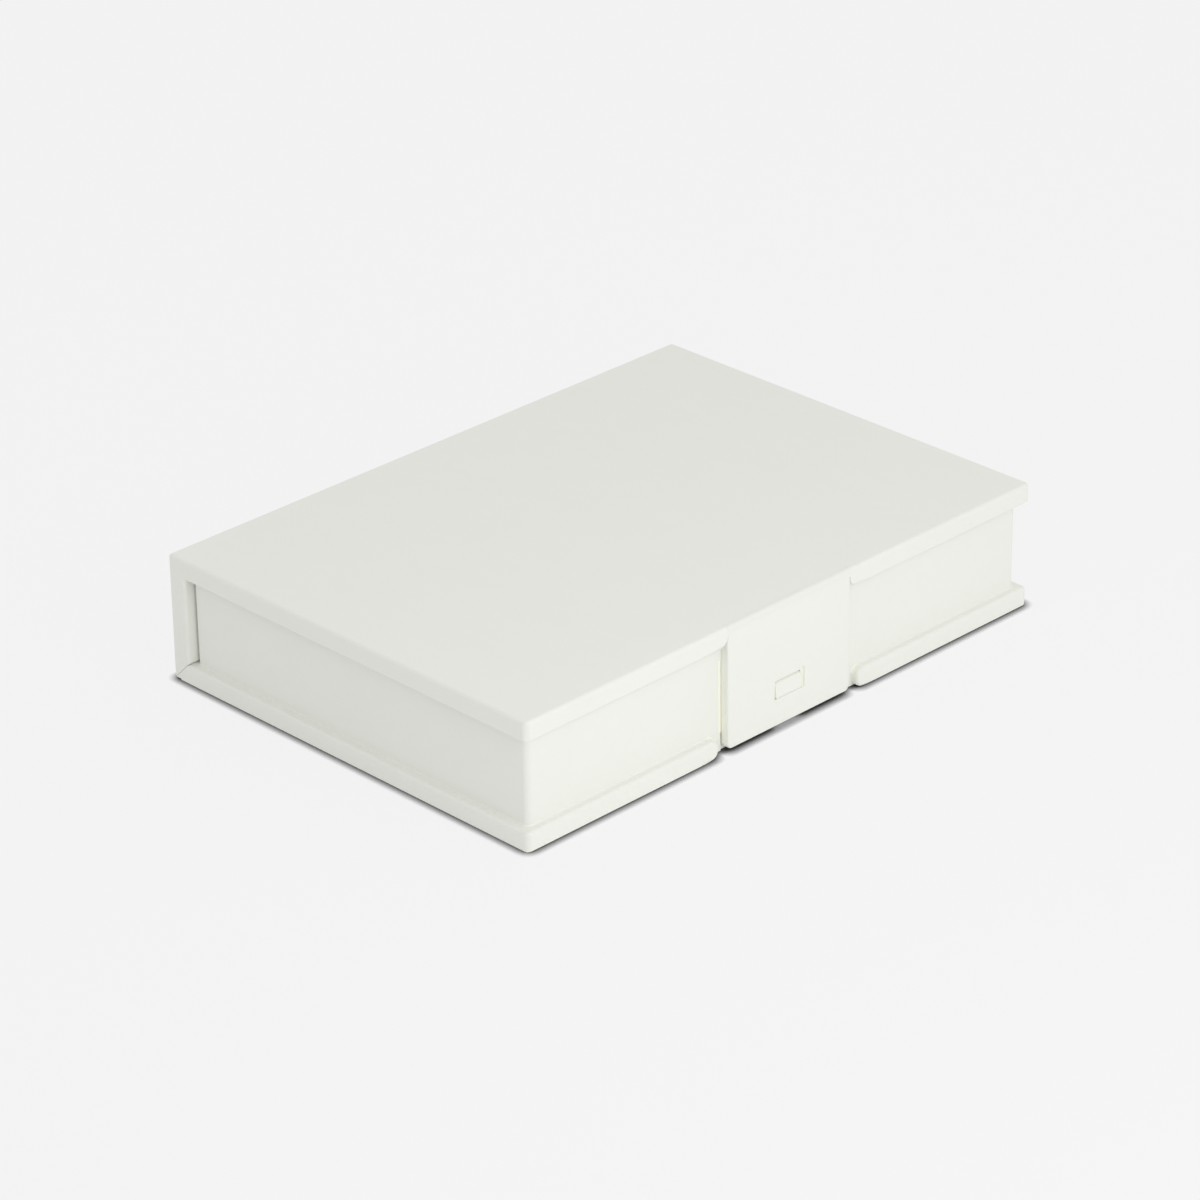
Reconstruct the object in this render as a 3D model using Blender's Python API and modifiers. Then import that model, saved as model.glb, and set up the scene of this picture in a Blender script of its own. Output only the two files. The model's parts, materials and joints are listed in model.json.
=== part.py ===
"""A book-style plastic case that holds one bare 3.5-inch hard drive.

The case is one polypropylene moulding in real life: a tray, a lid whose spine is moulded on at a
right angle, and a latch flap, joined by two thin living hinges. Each of those is its own object
here, and so is each hinge film and each foam pad. The case lies closed and flat.

Frame: metres, +Z up. The origin is the middle of the base, on the table. The long sides run along
X, the latch is on the -Y side, and the spine is on the +Y side.
"""

import math

import bmesh
import bpy
from mathutils import Matrix, Vector

MM = 0.001

# The drive that the case is made for, and the room that it has
DRIVE_LENGTH = 147.0 * MM
DRIVE_WIDTH = 101.6 * MM
DRIVE_HEIGHT = 26.1 * MM
DRIVE_SIDE_CLEARANCE = 0.6 * MM
DRIVE_TOP_CLEARANCE = 0.1 * MM

# Foam pads under and over the drive, near its two ends
PAD_THICKNESS = 1.9 * MM
PAD_WIDTH = 24.0 * MM
PAD_END_INSET = 7.0 * MM
PAD_SIDE_INSET = 5.0 * MM
PAD_CORNER_ROUND = 2.0 * MM
PAD_EDGE_ROUND = 0.35 * MM

# The shell's overall outline and plates
CASE_LENGTH = 178.0 * MM
CASE_WIDTH = 127.5 * MM
FLOOR_THICKNESS = 2.0 * MM
LID_PLATE_THICKNESS = 2.0 * MM
FIT_GAP = 0.3 * MM
CASE_HEIGHT = (
    FLOOR_THICKNESS + FIT_GAP + PAD_THICKNESS + DRIVE_HEIGHT + DRIVE_TOP_CLEARANCE
    + PAD_THICKNESS + FIT_GAP + LID_PLATE_THICKNESS
)
RIM_HEIGHT = 5.2 * MM
EDGE_ROUND = 0.9 * MM

# The tray's walls, set back from the rims above and below them
END_RECESS = 2.5 * MM
FRONT_RECESS = 2.3 * MM
WALL_THICKNESS = 2.0 * MM
LID_HEADROOM = 1.0 * MM
WALL_CORNER_ROUND = 1.8 * MM
WALL_TOP_ROUND = 0.4 * MM
COMPARTMENT_ROUND = 1.2 * MM

# The lid's skirt hangs outside the tray's walls, and its spine stands behind them
SKIRT_CLEARANCE = 0.7 * MM
SPINE_DEPTH = 5.8 * MM
SPINE_PLATE_THICKNESS = 2.0 * MM
SPINE_END_RIM = 6.5 * MM
SPINE_FOOT_THICKNESS = 2.0 * MM
SPINE_RIB_THICKNESS = 1.4 * MM
SPINE_RIB_COUNT = 3
SPINE_GAP = 2.1 * MM

# The two living hinges: a film bent over an outer corner, and the mitre that it closes
FILM_THICKNESS = 0.5 * MM
FILM_LEG = 2.4 * MM
FILM_OUTER_ROUND = 0.9 * MM
MITRE_GAP = 0.4 * MM

# The latch flap, which hangs from the lid's front edge, flush with the rims
FLAP_WIDTH = 43.3 * MM
FLAP_THICKNESS = 2.4 * MM
FLAP_SIDE_GAP = 0.35 * MM
FLAP_GROUND_GAP = 1.0 * MM
FLAP_CORNER_ROUND = 1.5 * MM
FLAP_EDGE_ROUND = 0.3 * MM

# The alcove behind the flap. Its back slopes away upwards, and follows the path of the flap's foot
# as the lid lifts it.
ALCOVE_FOOT_ROOM = 0.7 * MM
SWING_ROOM = 4.5 * MM
ALCOVE_WALL_THICKNESS = 1.6 * MM
ALCOVE_SIDE_GAP = 0.75 * MM
ALCOVE_UPPER_SIDE_GAP = 0.35 * MM
ALCOVE_STEP_DROP = 9.5 * MM
BASE_NOTCH_SIDE_GAP = 3.05 * MM
FOOT_ROOM_DEPTH = 0.4 * MM
NOTCH_ROUND = 2.2 * MM

# The slot in the flap, the catch that stands in it, and the lead-in channel below the slot
SLOT_WIDTH = 10.8 * MM
SLOT_HEIGHT = 5.6 * MM
SLOT_SILL_HEIGHT = 8.3 * MM
CATCH_WIDTH = 7.8 * MM
CATCH_NOSE_HEIGHT = 3.0 * MM
CATCH_SILL_GAP = 0.5 * MM
CATCH_SETBACK = 1.3 * MM
CATCH_SLOPE_RUN = 0.7 * MM
CATCH_ROOT_RISE = 2.2 * MM
LEAD_IN_SKIN = 0.85 * MM
LEAD_IN_SIDE_GAP = 0.7 * MM

# Ribs inside the tray that stop the drive from sliding
RIB_THICKNESS = 1.6 * MM
RIB_TOP_DROP = 3.0 * MM
RIB_LEAD_HEIGHT = 4.0 * MM
RIB_LEAD_RUN = 1.5 * MM
END_RIB_SPACING = 34.0 * MM
END_RIB_COUNT = 3
SIDE_RIB_SPACING = 28.0 * MM
SIDE_RIB_FIRST = 34.0 * MM
SIDE_RIB_PAIRS = 2

# How finely the rounded edges are cut, and how far a cutter runs past what it cuts
EDGE_SEGMENTS = 3
FINE_EDGE_SEGMENTS = 2
SHARP_EDGE_ANGLE = 60
ARC_STEPS = 6
CUT_OVERRUN = 3.0 * MM

# Places that follow from the sizes above
HALF_LENGTH = CASE_LENGTH / 2
HALF_WIDTH = CASE_WIDTH / 2
SKIRT_THICKNESS = FRONT_RECESS - SKIRT_CLEARANCE
SKIRT_BOTTOM = CASE_HEIGHT - RIM_HEIGHT
PLATE_UNDERSIDE = CASE_HEIGHT - LID_PLATE_THICKNESS
WALL_TOP = PLATE_UNDERSIDE - LID_HEADROOM
WALL_END = HALF_LENGTH - END_RECESS
WALL_FRONT = -HALF_WIDTH + FRONT_RECESS
SPINE_INNER = HALF_WIDTH - SPINE_DEPTH
WALL_BACK = SPINE_INNER - SPINE_GAP
INSIDE_END = WALL_END - WALL_THICKNESS
INSIDE_FRONT = WALL_FRONT + WALL_THICKNESS
INSIDE_BACK = WALL_BACK - WALL_THICKNESS
DRIVE_CENTRE_Y = (INSIDE_FRONT + INSIDE_BACK) / 2
FLAP_BACK = -HALF_WIDTH + FLAP_THICKNESS
REBATE_DEPTH = FILM_THICKNESS + FIT_GAP
REBATE_LEG = FILM_LEG + FIT_GAP
SPINE_HINGE = Vector((0, HALF_WIDTH - FILM_THICKNESS, FILM_THICKNESS))
LATCH_HINGE = Vector((0, -HALF_WIDTH + FILM_THICKNESS, CASE_HEIGHT - FILM_THICKNESS))

# Colours and roughness
IVORY = (0.76, 0.765, 0.715)
FOAM_GREY = (0.055, 0.057, 0.06)
PLASTIC_ROUGHNESS = 0.55
FOAM_ROUGHNESS = 0.95


def clear_scene():
    """Removes what is in the scene, so that the script gives the same result each run."""
    for thing in list(bpy.data.objects):
        bpy.data.objects.remove(thing)


def new_collection(name):
    """Makes a collection with this name and links it to the scene."""
    collection = bpy.data.collections.new(name)
    bpy.context.scene.collection.children.link(collection)
    return collection


def plain_material(name, colour, roughness):
    """A Principled material with one colour and one roughness."""
    material = bpy.data.materials.new(name)
    material.use_nodes = True
    shader = material.node_tree.nodes["Principled BSDF"]
    shader.inputs["Base Color"].default_value = (*colour, 1)
    shader.inputs["Roughness"].default_value = roughness
    shader.inputs["Metallic"].default_value = 0
    material.diffuse_color = (*colour, 1)
    return material


def object_from(name, builder, collection, origin=(0, 0, 0)):
    """Makes an object from a bmesh, with its faces pointing out and its origin at the given place."""
    bmesh.ops.recalc_face_normals(builder, faces=builder.faces[:])
    bmesh.ops.translate(builder, verts=builder.verts[:], vec=-Vector(origin))
    mesh = bpy.data.meshes.new(name)
    builder.to_mesh(mesh)
    builder.free()
    made = bpy.data.objects.new(name, mesh)
    made.location = origin
    collection.objects.link(made)
    return made


def add_block(builder, low, high):
    """Adds a box between two corners to a bmesh."""
    low, high = Vector(low), Vector(high)
    size = high - low
    place = Matrix.Translation((low + high) / 2) @ Matrix.Diagonal((*size, 1))
    bmesh.ops.create_cube(builder, size=1, matrix=place)


def block(name, low, high, collection, origin=(0, 0, 0)):
    """A box between two corners, as an object."""
    builder = bmesh.new()
    add_block(builder, low, high)
    return object_from(name, builder, collection, origin)


def add_prism(builder, outline, axis, start, end):
    """Adds a flat outline to a bmesh, extruded along one axis.

    The outline's points are (y, z) for axis "X", (x, z) for axis "Y" and (x, y) for axis "Z".
    """
    if axis == "X":
        corners = [builder.verts.new((start, a, b)) for a, b in outline]
        travel = Vector((end - start, 0, 0))
    elif axis == "Y":
        corners = [builder.verts.new((a, start, b)) for a, b in outline]
        travel = Vector((0, end - start, 0))
    else:
        corners = [builder.verts.new((a, b, start)) for a, b in outline]
        travel = Vector((0, 0, end - start))
    face = builder.faces.new(corners)
    grown = bmesh.ops.extrude_face_region(builder, geom=[face])
    moved = [part for part in grown["geom"] if isinstance(part, bmesh.types.BMVert)]
    bmesh.ops.translate(builder, verts=moved, vec=travel)


def prism(name, outline, axis, start, end, collection, origin=(0, 0, 0)):
    """An extruded outline, as an object."""
    builder = bmesh.new()
    add_prism(builder, outline, axis, start, end)
    return object_from(name, builder, collection, origin)


def arc(centre, radius, start_degrees, end_degrees):
    """Points on an arc, both ends included."""
    points = []
    for step in range(ARC_STEPS + 1):
        share = step / ARC_STEPS
        angle = math.radians(start_degrees + (end_degrees - start_degrees) * share)
        points.append((centre[0] + radius * math.cos(angle), centre[1] + radius * math.sin(angle)))
    return points


def rounded_rectangle(centre, half_x, half_y, radius):
    """Outline in X and Y of an upright block with rounded corners."""
    points = []
    for x, y, start in ((1, 1, 0), (-1, 1, 90), (-1, -1, 180), (1, -1, 270)):
        corner = (centre[0] + x * (half_x - radius), centre[1] + y * (half_y - radius))
        points += arc(corner, radius, start, start + 90)
    return points


def round_edges(piece, width):
    """Rounds every sharp edge that the piece has so far."""
    bevel = piece.modifiers.new("rounded edges", "BEVEL")
    bevel.width = width
    bevel.segments = EDGE_SEGMENTS
    bevel.limit_method = "ANGLE"
    bevel.use_clamp_overlap = True
    return bevel


def ease_edges(piece, width):
    """Rounds a flat piece's rims a little, and leaves the arcs of its outline as they are."""
    bevel = round_edges(piece, width)
    bevel.segments = FINE_EDGE_SEGMENTS
    bevel.angle_limit = math.radians(SHARP_EDGE_ANGLE)


def combine(piece, tool, operation):
    """Adds a helper shape to a piece, or takes it away, with a Boolean modifier."""
    boolean = piece.modifiers.new(tool.name, "BOOLEAN")
    boolean.operation = operation
    boolean.solver = "EXACT"
    boolean.object = tool


def join_on(piece, tool):
    """Joins a helper shape to a piece."""
    combine(piece, tool, "UNION")


def cut_out(piece, tool):
    """Cuts a helper shape out of a piece."""
    combine(piece, tool, "DIFFERENCE")


def mark_helpers(helpers):
    """Keeps the helper shapes out of renders, and draws them as wires."""
    for tool in helpers.objects:
        tool.hide_render = True
        tool.display_type = "WIRE"


def notch_outline(half_width, sill, top, flare_sill, flare_top):
    """Outline in X and Z of a notch through a rim, flared where the rim's corners are rounded.

    Args:
        half_width: half the notch's width between its straight sides.
        sill: the rim's lower edge.
        top: the rim's upper edge, where the notch ends.
        flare_sill: whether the rim's corners at its lower edge are rounded.
        flare_top: whether the rim's corners at its upper edge are rounded.
    """
    outer = half_width + NOTCH_ROUND
    right = []
    if flare_sill:
        right += [(outer, sill - CUT_OVERRUN)]
        right += arc((outer, sill + NOTCH_ROUND), NOTCH_ROUND, 270, 180)
    else:
        right += [(half_width, sill - CUT_OVERRUN)]
    if flare_top:
        right += arc((outer, top - NOTCH_ROUND), NOTCH_ROUND, 180, 90)
    else:
        right += [(half_width, top)]
    return right + [(-x, z) for x, z in reversed(right)]


def mitre_outline(side):
    """Outline in Y and Z of all that lies on the other side of the mitre at the spine's hinge.

    Args:
        side: 1 for what the tray loses, above the mitre, or -1 for what the spine loses.
    """
    shift = side * MITRE_GAP / math.sqrt(2)
    reach = RIM_HEIGHT if side > 0 else SPINE_DEPTH + RIM_HEIGHT
    foot = (SPINE_HINGE.y + reach, SPINE_HINGE.z - reach - shift)
    head = (SPINE_HINGE.y - reach, SPINE_HINGE.z + reach - shift)
    corner = (foot[0], head[1]) if side > 0 else (head[0], foot[1])
    return [foot, corner, head]


def tray_slab(parts):
    """The tray's floor and its low rim, with the mitred back edge not yet cut."""
    low = (-HALF_LENGTH, -HALF_WIDTH, 0)
    slab = block("base_tray", low, (HALF_LENGTH, HALF_WIDTH, RIM_HEIGHT), parts)
    round_edges(slab, EDGE_ROUND)
    return slab


def tray_walls(helpers):
    """The block that the tray's walls are cut from, set back from the rims and round at the front."""
    across, front = WALL_END - WALL_CORNER_ROUND, WALL_FRONT + WALL_CORNER_ROUND
    outline = arc((across, front), WALL_CORNER_ROUND, 270, 360)
    outline += [(WALL_END, WALL_BACK), (-WALL_END, WALL_BACK)]
    outline += arc((-across, front), WALL_CORNER_ROUND, 180, 270)
    walls = prism("tray_wall_block", outline, "Z", FLOOR_THICKNESS, WALL_TOP, helpers)
    ease_edges(walls, WALL_TOP_ROUND)
    return walls


def compartment(helpers):
    """The space inside the walls, open at the top."""
    space = block(
        "tray_compartment",
        (-INSIDE_END, INSIDE_FRONT, FLOOR_THICKNESS),
        (INSIDE_END, INSIDE_BACK, WALL_TOP + CUT_OVERRUN),
        helpers,
    )
    round_edges(space, COMPARTMENT_ROUND)
    return space


def alcove_back_at(height):
    """The place of the alcove's sloping back face at a height above the rim."""
    share = (height - RIM_HEIGHT) / (WALL_TOP - RIM_HEIGHT)
    return FLAP_BACK + ALCOVE_FOOT_ROOM + (SWING_ROOM - ALCOVE_FOOT_ROOM) * share


def alcove_block(helpers):
    """The block that carries the alcove's back and side walls, inside the front wall."""
    half = FLAP_WIDTH / 2 + ALCOVE_SIDE_GAP + ALCOVE_WALL_THICKNESS
    front = WALL_FRONT + FIT_GAP
    foot = alcove_back_at(RIM_HEIGHT) + ALCOVE_WALL_THICKNESS
    head = alcove_back_at(WALL_TOP) + ALCOVE_WALL_THICKNESS
    outline = [
        (front, FLOOR_THICKNESS / 2),
        (foot, FLOOR_THICKNESS / 2),
        (foot, RIM_HEIGHT),
        (head, WALL_TOP),
        (front, WALL_TOP),
    ]
    return prism("alcove_block", outline, "X", -half, half, helpers)


def alcove_space(name, side_gap, top, helpers):
    """The room behind the flap, from the rim up to a height.

    Args:
        name: the helper's name.
        side_gap: the room beside each of the flap's edges.
        top: the height that the room reaches.
        helpers: the collection that it goes to.
    """
    half = FLAP_WIDTH / 2 + side_gap
    front = -HALF_WIDTH - CUT_OVERRUN
    outline = [
        (front, RIM_HEIGHT),
        (alcove_back_at(RIM_HEIGHT), RIM_HEIGHT),
        (alcove_back_at(top), top),
        (front, top),
    ]
    return prism(name, outline, "X", -half, half, helpers)


def base_notch(helpers):
    """The notch in the tray's low rim where the foot of the flap hangs, back to the front wall."""
    outline = notch_outline(
        FLAP_WIDTH / 2 + BASE_NOTCH_SIDE_GAP, 0, RIM_HEIGHT, flare_sill=True, flare_top=True
    )
    return prism("base_notch", outline, "Y", -HALF_WIDTH - CUT_OVERRUN, WALL_FRONT, helpers)


def foot_room(helpers):
    """The room behind the flap's foot, a little deeper than the notch."""
    half = FLAP_WIDTH / 2 + ALCOVE_SIDE_GAP
    return block(
        "foot_room",
        (-half, -HALF_WIDTH - CUT_OVERRUN, -CUT_OVERRUN),
        (half, FLAP_BACK + FOOT_ROOM_DEPTH, RIM_HEIGHT),
        helpers,
    )


def catch(helpers):
    """The catch that stands out of the alcove's wall into the flap's slot: a wedge with a flat sill."""
    sill = SLOT_SILL_HEIGHT + CATCH_SILL_GAP
    nose = -HALF_WIDTH + CATCH_SETBACK
    top = sill + CATCH_NOSE_HEIGHT + CATCH_ROOT_RISE
    root = alcove_back_at((sill + top) / 2) + ALCOVE_WALL_THICKNESS / 2
    outline = [
        (root, sill),
        (nose, sill),
        (nose + CATCH_SLOPE_RUN, sill + CATCH_NOSE_HEIGHT),
        (alcove_back_at(top), top),
        (root, top),
    ]
    return prism("catch", outline, "X", -CATCH_WIDTH / 2, CATCH_WIDTH / 2, helpers)


def rib_outline(wall, reach, outward):
    """Outline of one drive rib: upright against its wall, with a sloped lead-in at the top.

    Args:
        wall: the place of the wall's inner face along the rib's own axis.
        reach: where the rib's edge stands, a clearance away from the drive.
        outward: 1 if the wall lies on the positive side of the rib, or -1.
    """
    root = wall + outward * WALL_THICKNESS / 2
    foot = FLOOR_THICKNESS / 2
    top = WALL_TOP - RIB_TOP_DROP
    return [
        (root, foot),
        (root, top),
        (reach + outward * RIB_LEAD_RUN, top),
        (reach, top - RIB_LEAD_HEIGHT),
        (reach, foot),
    ]


def drive_ribs(helpers):
    """All the ribs that hold the drive in place, as one helper of separate prisms."""
    builder = bmesh.new()
    half_rib = RIB_THICKNESS / 2
    drive_end = DRIVE_LENGTH / 2 + DRIVE_SIDE_CLEARANCE
    drive_side = DRIVE_WIDTH / 2 + DRIVE_SIDE_CLEARANCE
    for outward in (-1, 1):
        outline = rib_outline(outward * INSIDE_END, outward * drive_end, outward)
        for number in range(END_RIB_COUNT):
            y = DRIVE_CENTRE_Y + (number - (END_RIB_COUNT - 1) / 2) * END_RIB_SPACING
            add_prism(builder, outline, "Y", y - half_rib, y + half_rib)
        wall = INSIDE_BACK if outward > 0 else INSIDE_FRONT
        outline = rib_outline(wall, DRIVE_CENTRE_Y + outward * drive_side, outward)
        for number in range(SIDE_RIB_PAIRS):
            for side in (-1, 1):
                x = side * (SIDE_RIB_FIRST + number * SIDE_RIB_SPACING)
                add_prism(builder, outline, "X", x - half_rib, x + half_rib)
    return object_from("drive_ribs", builder, helpers)


def hinge_rebate(name, y, z, toward_y, toward_z, half_length, helpers):
    """The L-shaped rebate that a hinge film lies in, round an outer corner at (y, z).

    Args:
        name: the helper's name.
        y: the corner's place across the case.
        z: the corner's height.
        toward_y: 1 or -1, the way from the corner into the case across it.
        toward_z: 1 or -1, the way from the corner into the case along the height.
        half_length: half the rebate's length along the case.
        helpers: the collection that it goes to.
    """
    past_y, past_z = y - toward_y * CUT_OVERRUN, z - toward_z * CUT_OVERRUN
    deep_y, deep_z = y + toward_y * REBATE_DEPTH, z + toward_z * REBATE_DEPTH
    leg_y, leg_z = y + toward_y * REBATE_LEG, z + toward_z * REBATE_LEG
    outline = [
        (past_y, past_z),
        (leg_y, past_z),
        (leg_y, deep_z),
        (deep_y, deep_z),
        (deep_y, leg_z),
        (past_y, leg_z),
    ]
    return prism(name, outline, "X", -half_length, half_length, helpers)


def make_tray(parts, helpers, material):
    """The base tray: floor, rim, recessed walls, alcove with its catch, and the drive's ribs."""
    tray = tray_slab(parts)
    join_on(tray, tray_walls(helpers))
    cut_out(tray, compartment(helpers))
    join_on(tray, alcove_block(helpers))
    step = CASE_HEIGHT - ALCOVE_STEP_DROP
    past = WALL_TOP + CUT_OVERRUN
    cut_out(tray, alcove_space("alcove_upper_space", ALCOVE_UPPER_SIDE_GAP, past, helpers))
    cut_out(tray, alcove_space("alcove_lower_space", ALCOVE_SIDE_GAP, step, helpers))
    cut_out(tray, base_notch(helpers))
    cut_out(tray, foot_room(helpers))
    join_on(tray, catch(helpers))
    join_on(tray, drive_ribs(helpers))
    reach = HALF_LENGTH + CUT_OVERRUN
    cut_out(tray, prism("tray_mitre", mitre_outline(1), "X", -reach, reach, helpers))
    cut_out(tray, hinge_rebate("tray_rebate", HALF_WIDTH, 0, -1, 1, reach, helpers))
    tray.data.materials.append(material)
    return tray


def lid_outline():
    """Outline in Y and Z of the lid's band and the spine below it, as one L."""
    return [
        (-HALF_WIDTH, CASE_HEIGHT),
        (-HALF_WIDTH, SKIRT_BOTTOM),
        (SPINE_INNER, SKIRT_BOTTOM),
        (SPINE_INNER, 0),
        (HALF_WIDTH, 0),
        (HALF_WIDTH, CASE_HEIGHT),
    ]


def lid_hollow(helpers):
    """The hollow under the lid's plate, inside the skirt."""
    return block(
        "lid_hollow",
        (-HALF_LENGTH + SKIRT_THICKNESS, -HALF_WIDTH + SKIRT_THICKNESS, SKIRT_BOTTOM - CUT_OVERRUN),
        (HALF_LENGTH - SKIRT_THICKNESS, SPINE_INNER, PLATE_UNDERSIDE),
        helpers,
    )


def spine_core(helpers):
    """The spine's hollow: bays between its end rims and ribs, with a foot along the mitre."""
    builder = bmesh.new()
    back = HALF_WIDTH - SPINE_PLATE_THICKNESS
    front = SPINE_INNER - CUT_OVERRUN
    slope_start = SPINE_HINGE.y + SPINE_HINGE.z
    foot = (MITRE_GAP / 2 + SPINE_FOOT_THICKNESS) * math.sqrt(2)
    outline = [
        (front, slope_start - front + foot),
        (back, slope_start - back + foot),
        (back, PLATE_UNDERSIDE),
        (front, PLATE_UNDERSIDE),
    ]
    inner_half = HALF_LENGTH - SPINE_END_RIM
    bays = SPINE_RIB_COUNT + 1
    bay = (2 * inner_half - SPINE_RIB_COUNT * SPINE_RIB_THICKNESS) / bays
    for number in range(bays):
        start = -inner_half + number * (bay + SPINE_RIB_THICKNESS)
        add_prism(builder, outline, "X", start, start + bay)
    return object_from("spine_core", builder, helpers)


def lid_notch(helpers):
    """The notch in the lid's front skirt where the flap hangs, up to the plate."""
    outline = notch_outline(
        FLAP_WIDTH / 2 + FLAP_SIDE_GAP, SKIRT_BOTTOM, PLATE_UNDERSIDE, True, False
    )
    return prism(
        "lid_notch",
        outline,
        "Y",
        -HALF_WIDTH - CUT_OVERRUN,
        -HALF_WIDTH + SKIRT_THICKNESS + CUT_OVERRUN,
        helpers,
    )


def latch_mitre_outline(side):
    """Outline in Y and Z of what lies across the mitre at the latch's hinge.

    Args:
        side: 1 for what the flap loses, above the mitre, or -1 for what the lid loses.
    """
    shift = side * MITRE_GAP / math.sqrt(2)
    reach = FLAP_THICKNESS + LID_PLATE_THICKNESS
    outer = (LATCH_HINGE.y - reach, LATCH_HINGE.z + reach - shift)
    inner = (LATCH_HINGE.y + reach, LATCH_HINGE.z - reach - shift)
    corner = (inner[0], outer[1]) if side > 0 else (outer[0], inner[1])
    return [outer, corner, inner]


def make_lid(parts, helpers, material):
    """The lid and its spine: an L with rounded edges, hollowed from the inside."""
    lid = prism(
        "lid_and_spine", lid_outline(), "X", -HALF_LENGTH, HALF_LENGTH, parts, SPINE_HINGE
    )
    round_edges(lid, EDGE_ROUND)
    cut_out(lid, lid_hollow(helpers))
    cut_out(lid, spine_core(helpers))
    cut_out(lid, lid_notch(helpers))
    reach = HALF_LENGTH + CUT_OVERRUN
    notch_half = FLAP_WIDTH / 2 + FLAP_SIDE_GAP
    cut_out(lid, prism("spine_mitre", mitre_outline(-1), "X", -reach, reach, helpers))
    cut_out(lid, hinge_rebate("spine_rebate", HALF_WIDTH, 0, -1, 1, reach, helpers))
    cut_out(
        lid,
        prism("lid_mitre", latch_mitre_outline(-1), "X", -notch_half, notch_half, helpers),
    )
    cut_out(
        lid,
        hinge_rebate("lid_rebate", -HALF_WIDTH, CASE_HEIGHT, 1, -1, notch_half, helpers),
    )
    lid.data.materials.append(material)
    return lid


def flap_outline():
    """Outline in X and Z of the flap, with rounded lower corners."""
    half = FLAP_WIDTH / 2
    low = FLAP_GROUND_GAP
    corner = arc(
        (half - FLAP_CORNER_ROUND, low + FLAP_CORNER_ROUND), FLAP_CORNER_ROUND, 270, 360
    )
    right = corner + [(half, CASE_HEIGHT)]
    return right + [(-x, z) for x, z in reversed(right)]


def flap_slot(helpers):
    """The slot in the flap that the catch stands in."""
    half = SLOT_WIDTH / 2
    return block(
        "flap_slot",
        (-half, -HALF_WIDTH - CUT_OVERRUN, SLOT_SILL_HEIGHT),
        (half, FLAP_BACK + CUT_OVERRUN, SLOT_SILL_HEIGHT + SLOT_HEIGHT),
        helpers,
    )


def flap_lead_in(helpers):
    """The channel in the flap's back that lets the catch pass from its lower edge to the slot."""
    half = CATCH_WIDTH / 2 + LEAD_IN_SIDE_GAP
    return block(
        "flap_lead_in",
        (-half, -HALF_WIDTH + LEAD_IN_SKIN, FLAP_GROUND_GAP - CUT_OVERRUN),
        (half, FLAP_BACK + CUT_OVERRUN, SLOT_SILL_HEIGHT + SLOT_HEIGHT / 2),
        helpers,
    )


def make_flap(parts, helpers, material):
    """The latch flap, with its origin on its living hinge."""
    flap = prism(
        "latch_flap", flap_outline(), "Y", -HALF_WIDTH, FLAP_BACK, parts, LATCH_HINGE
    )
    ease_edges(flap, FLAP_EDGE_ROUND)
    cut_out(flap, flap_slot(helpers))
    cut_out(flap, flap_lead_in(helpers))
    reach = FLAP_WIDTH / 2 + CUT_OVERRUN
    cut_out(flap, prism("flap_mitre", latch_mitre_outline(1), "X", -reach, reach, helpers))
    cut_out(
        flap,
        hinge_rebate("flap_rebate", -HALF_WIDTH, CASE_HEIGHT, 1, -1, reach, helpers),
    )
    flap.data.materials.append(material)
    return flap


def film_outline(y, z, toward_y, toward_z):
    """Outline in Y and Z of a hinge film bent round the outer corner at (y, z)."""
    inner_round = FILM_OUTER_ROUND - FILM_THICKNESS
    outside = arc((FILM_OUTER_ROUND, FILM_OUTER_ROUND), FILM_OUTER_ROUND, 270, 180)
    inside = arc((FILM_OUTER_ROUND, FILM_OUTER_ROUND), inner_round, 180, 270)
    shape = [(FILM_LEG, 0)] + outside + [(0, FILM_LEG)]
    shape += [(FILM_THICKNESS, FILM_LEG)] + inside + [(FILM_LEG, FILM_THICKNESS)]
    return [(y + toward_y * a, z + toward_z * b) for a, b in shape]


def make_films(parts, material):
    """The two living hinges, each a thin film bent round its corner."""
    half_length = HALF_LENGTH - EDGE_ROUND
    spine_film = prism(
        "spine_hinge_film",
        film_outline(HALF_WIDTH, 0, -1, 1),
        "X",
        -half_length,
        half_length,
        parts,
        SPINE_HINGE,
    )
    latch_film = prism(
        "latch_hinge_film",
        film_outline(-HALF_WIDTH, CASE_HEIGHT, 1, -1),
        "X",
        -FLAP_WIDTH / 2,
        FLAP_WIDTH / 2,
        parts,
        LATCH_HINGE,
    )
    for film in (spine_film, latch_film):
        film.data.materials.append(material)
    return spine_film, latch_film


def make_pad(name, side, bottom, parts, material):
    """One foam pad near an end of the drive.

    Args:
        name: the pad's name.
        side: -1 or 1, the end that it lies at.
        bottom: the height of its underside.
        parts: the collection that it goes to.
        material: its foam material.
    """
    builder = bmesh.new()
    centre = (side * (DRIVE_LENGTH / 2 - PAD_END_INSET - PAD_WIDTH / 2), DRIVE_CENTRE_Y)
    half_y = DRIVE_WIDTH / 2 - PAD_SIDE_INSET
    outline = rounded_rectangle(centre, PAD_WIDTH / 2, half_y, PAD_CORNER_ROUND)
    add_prism(builder, outline, "Z", bottom, bottom + PAD_THICKNESS)
    pad = object_from(name, builder, parts)
    ease_edges(pad, PAD_EDGE_ROUND)
    pad.data.materials.append(material)
    return pad


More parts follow.
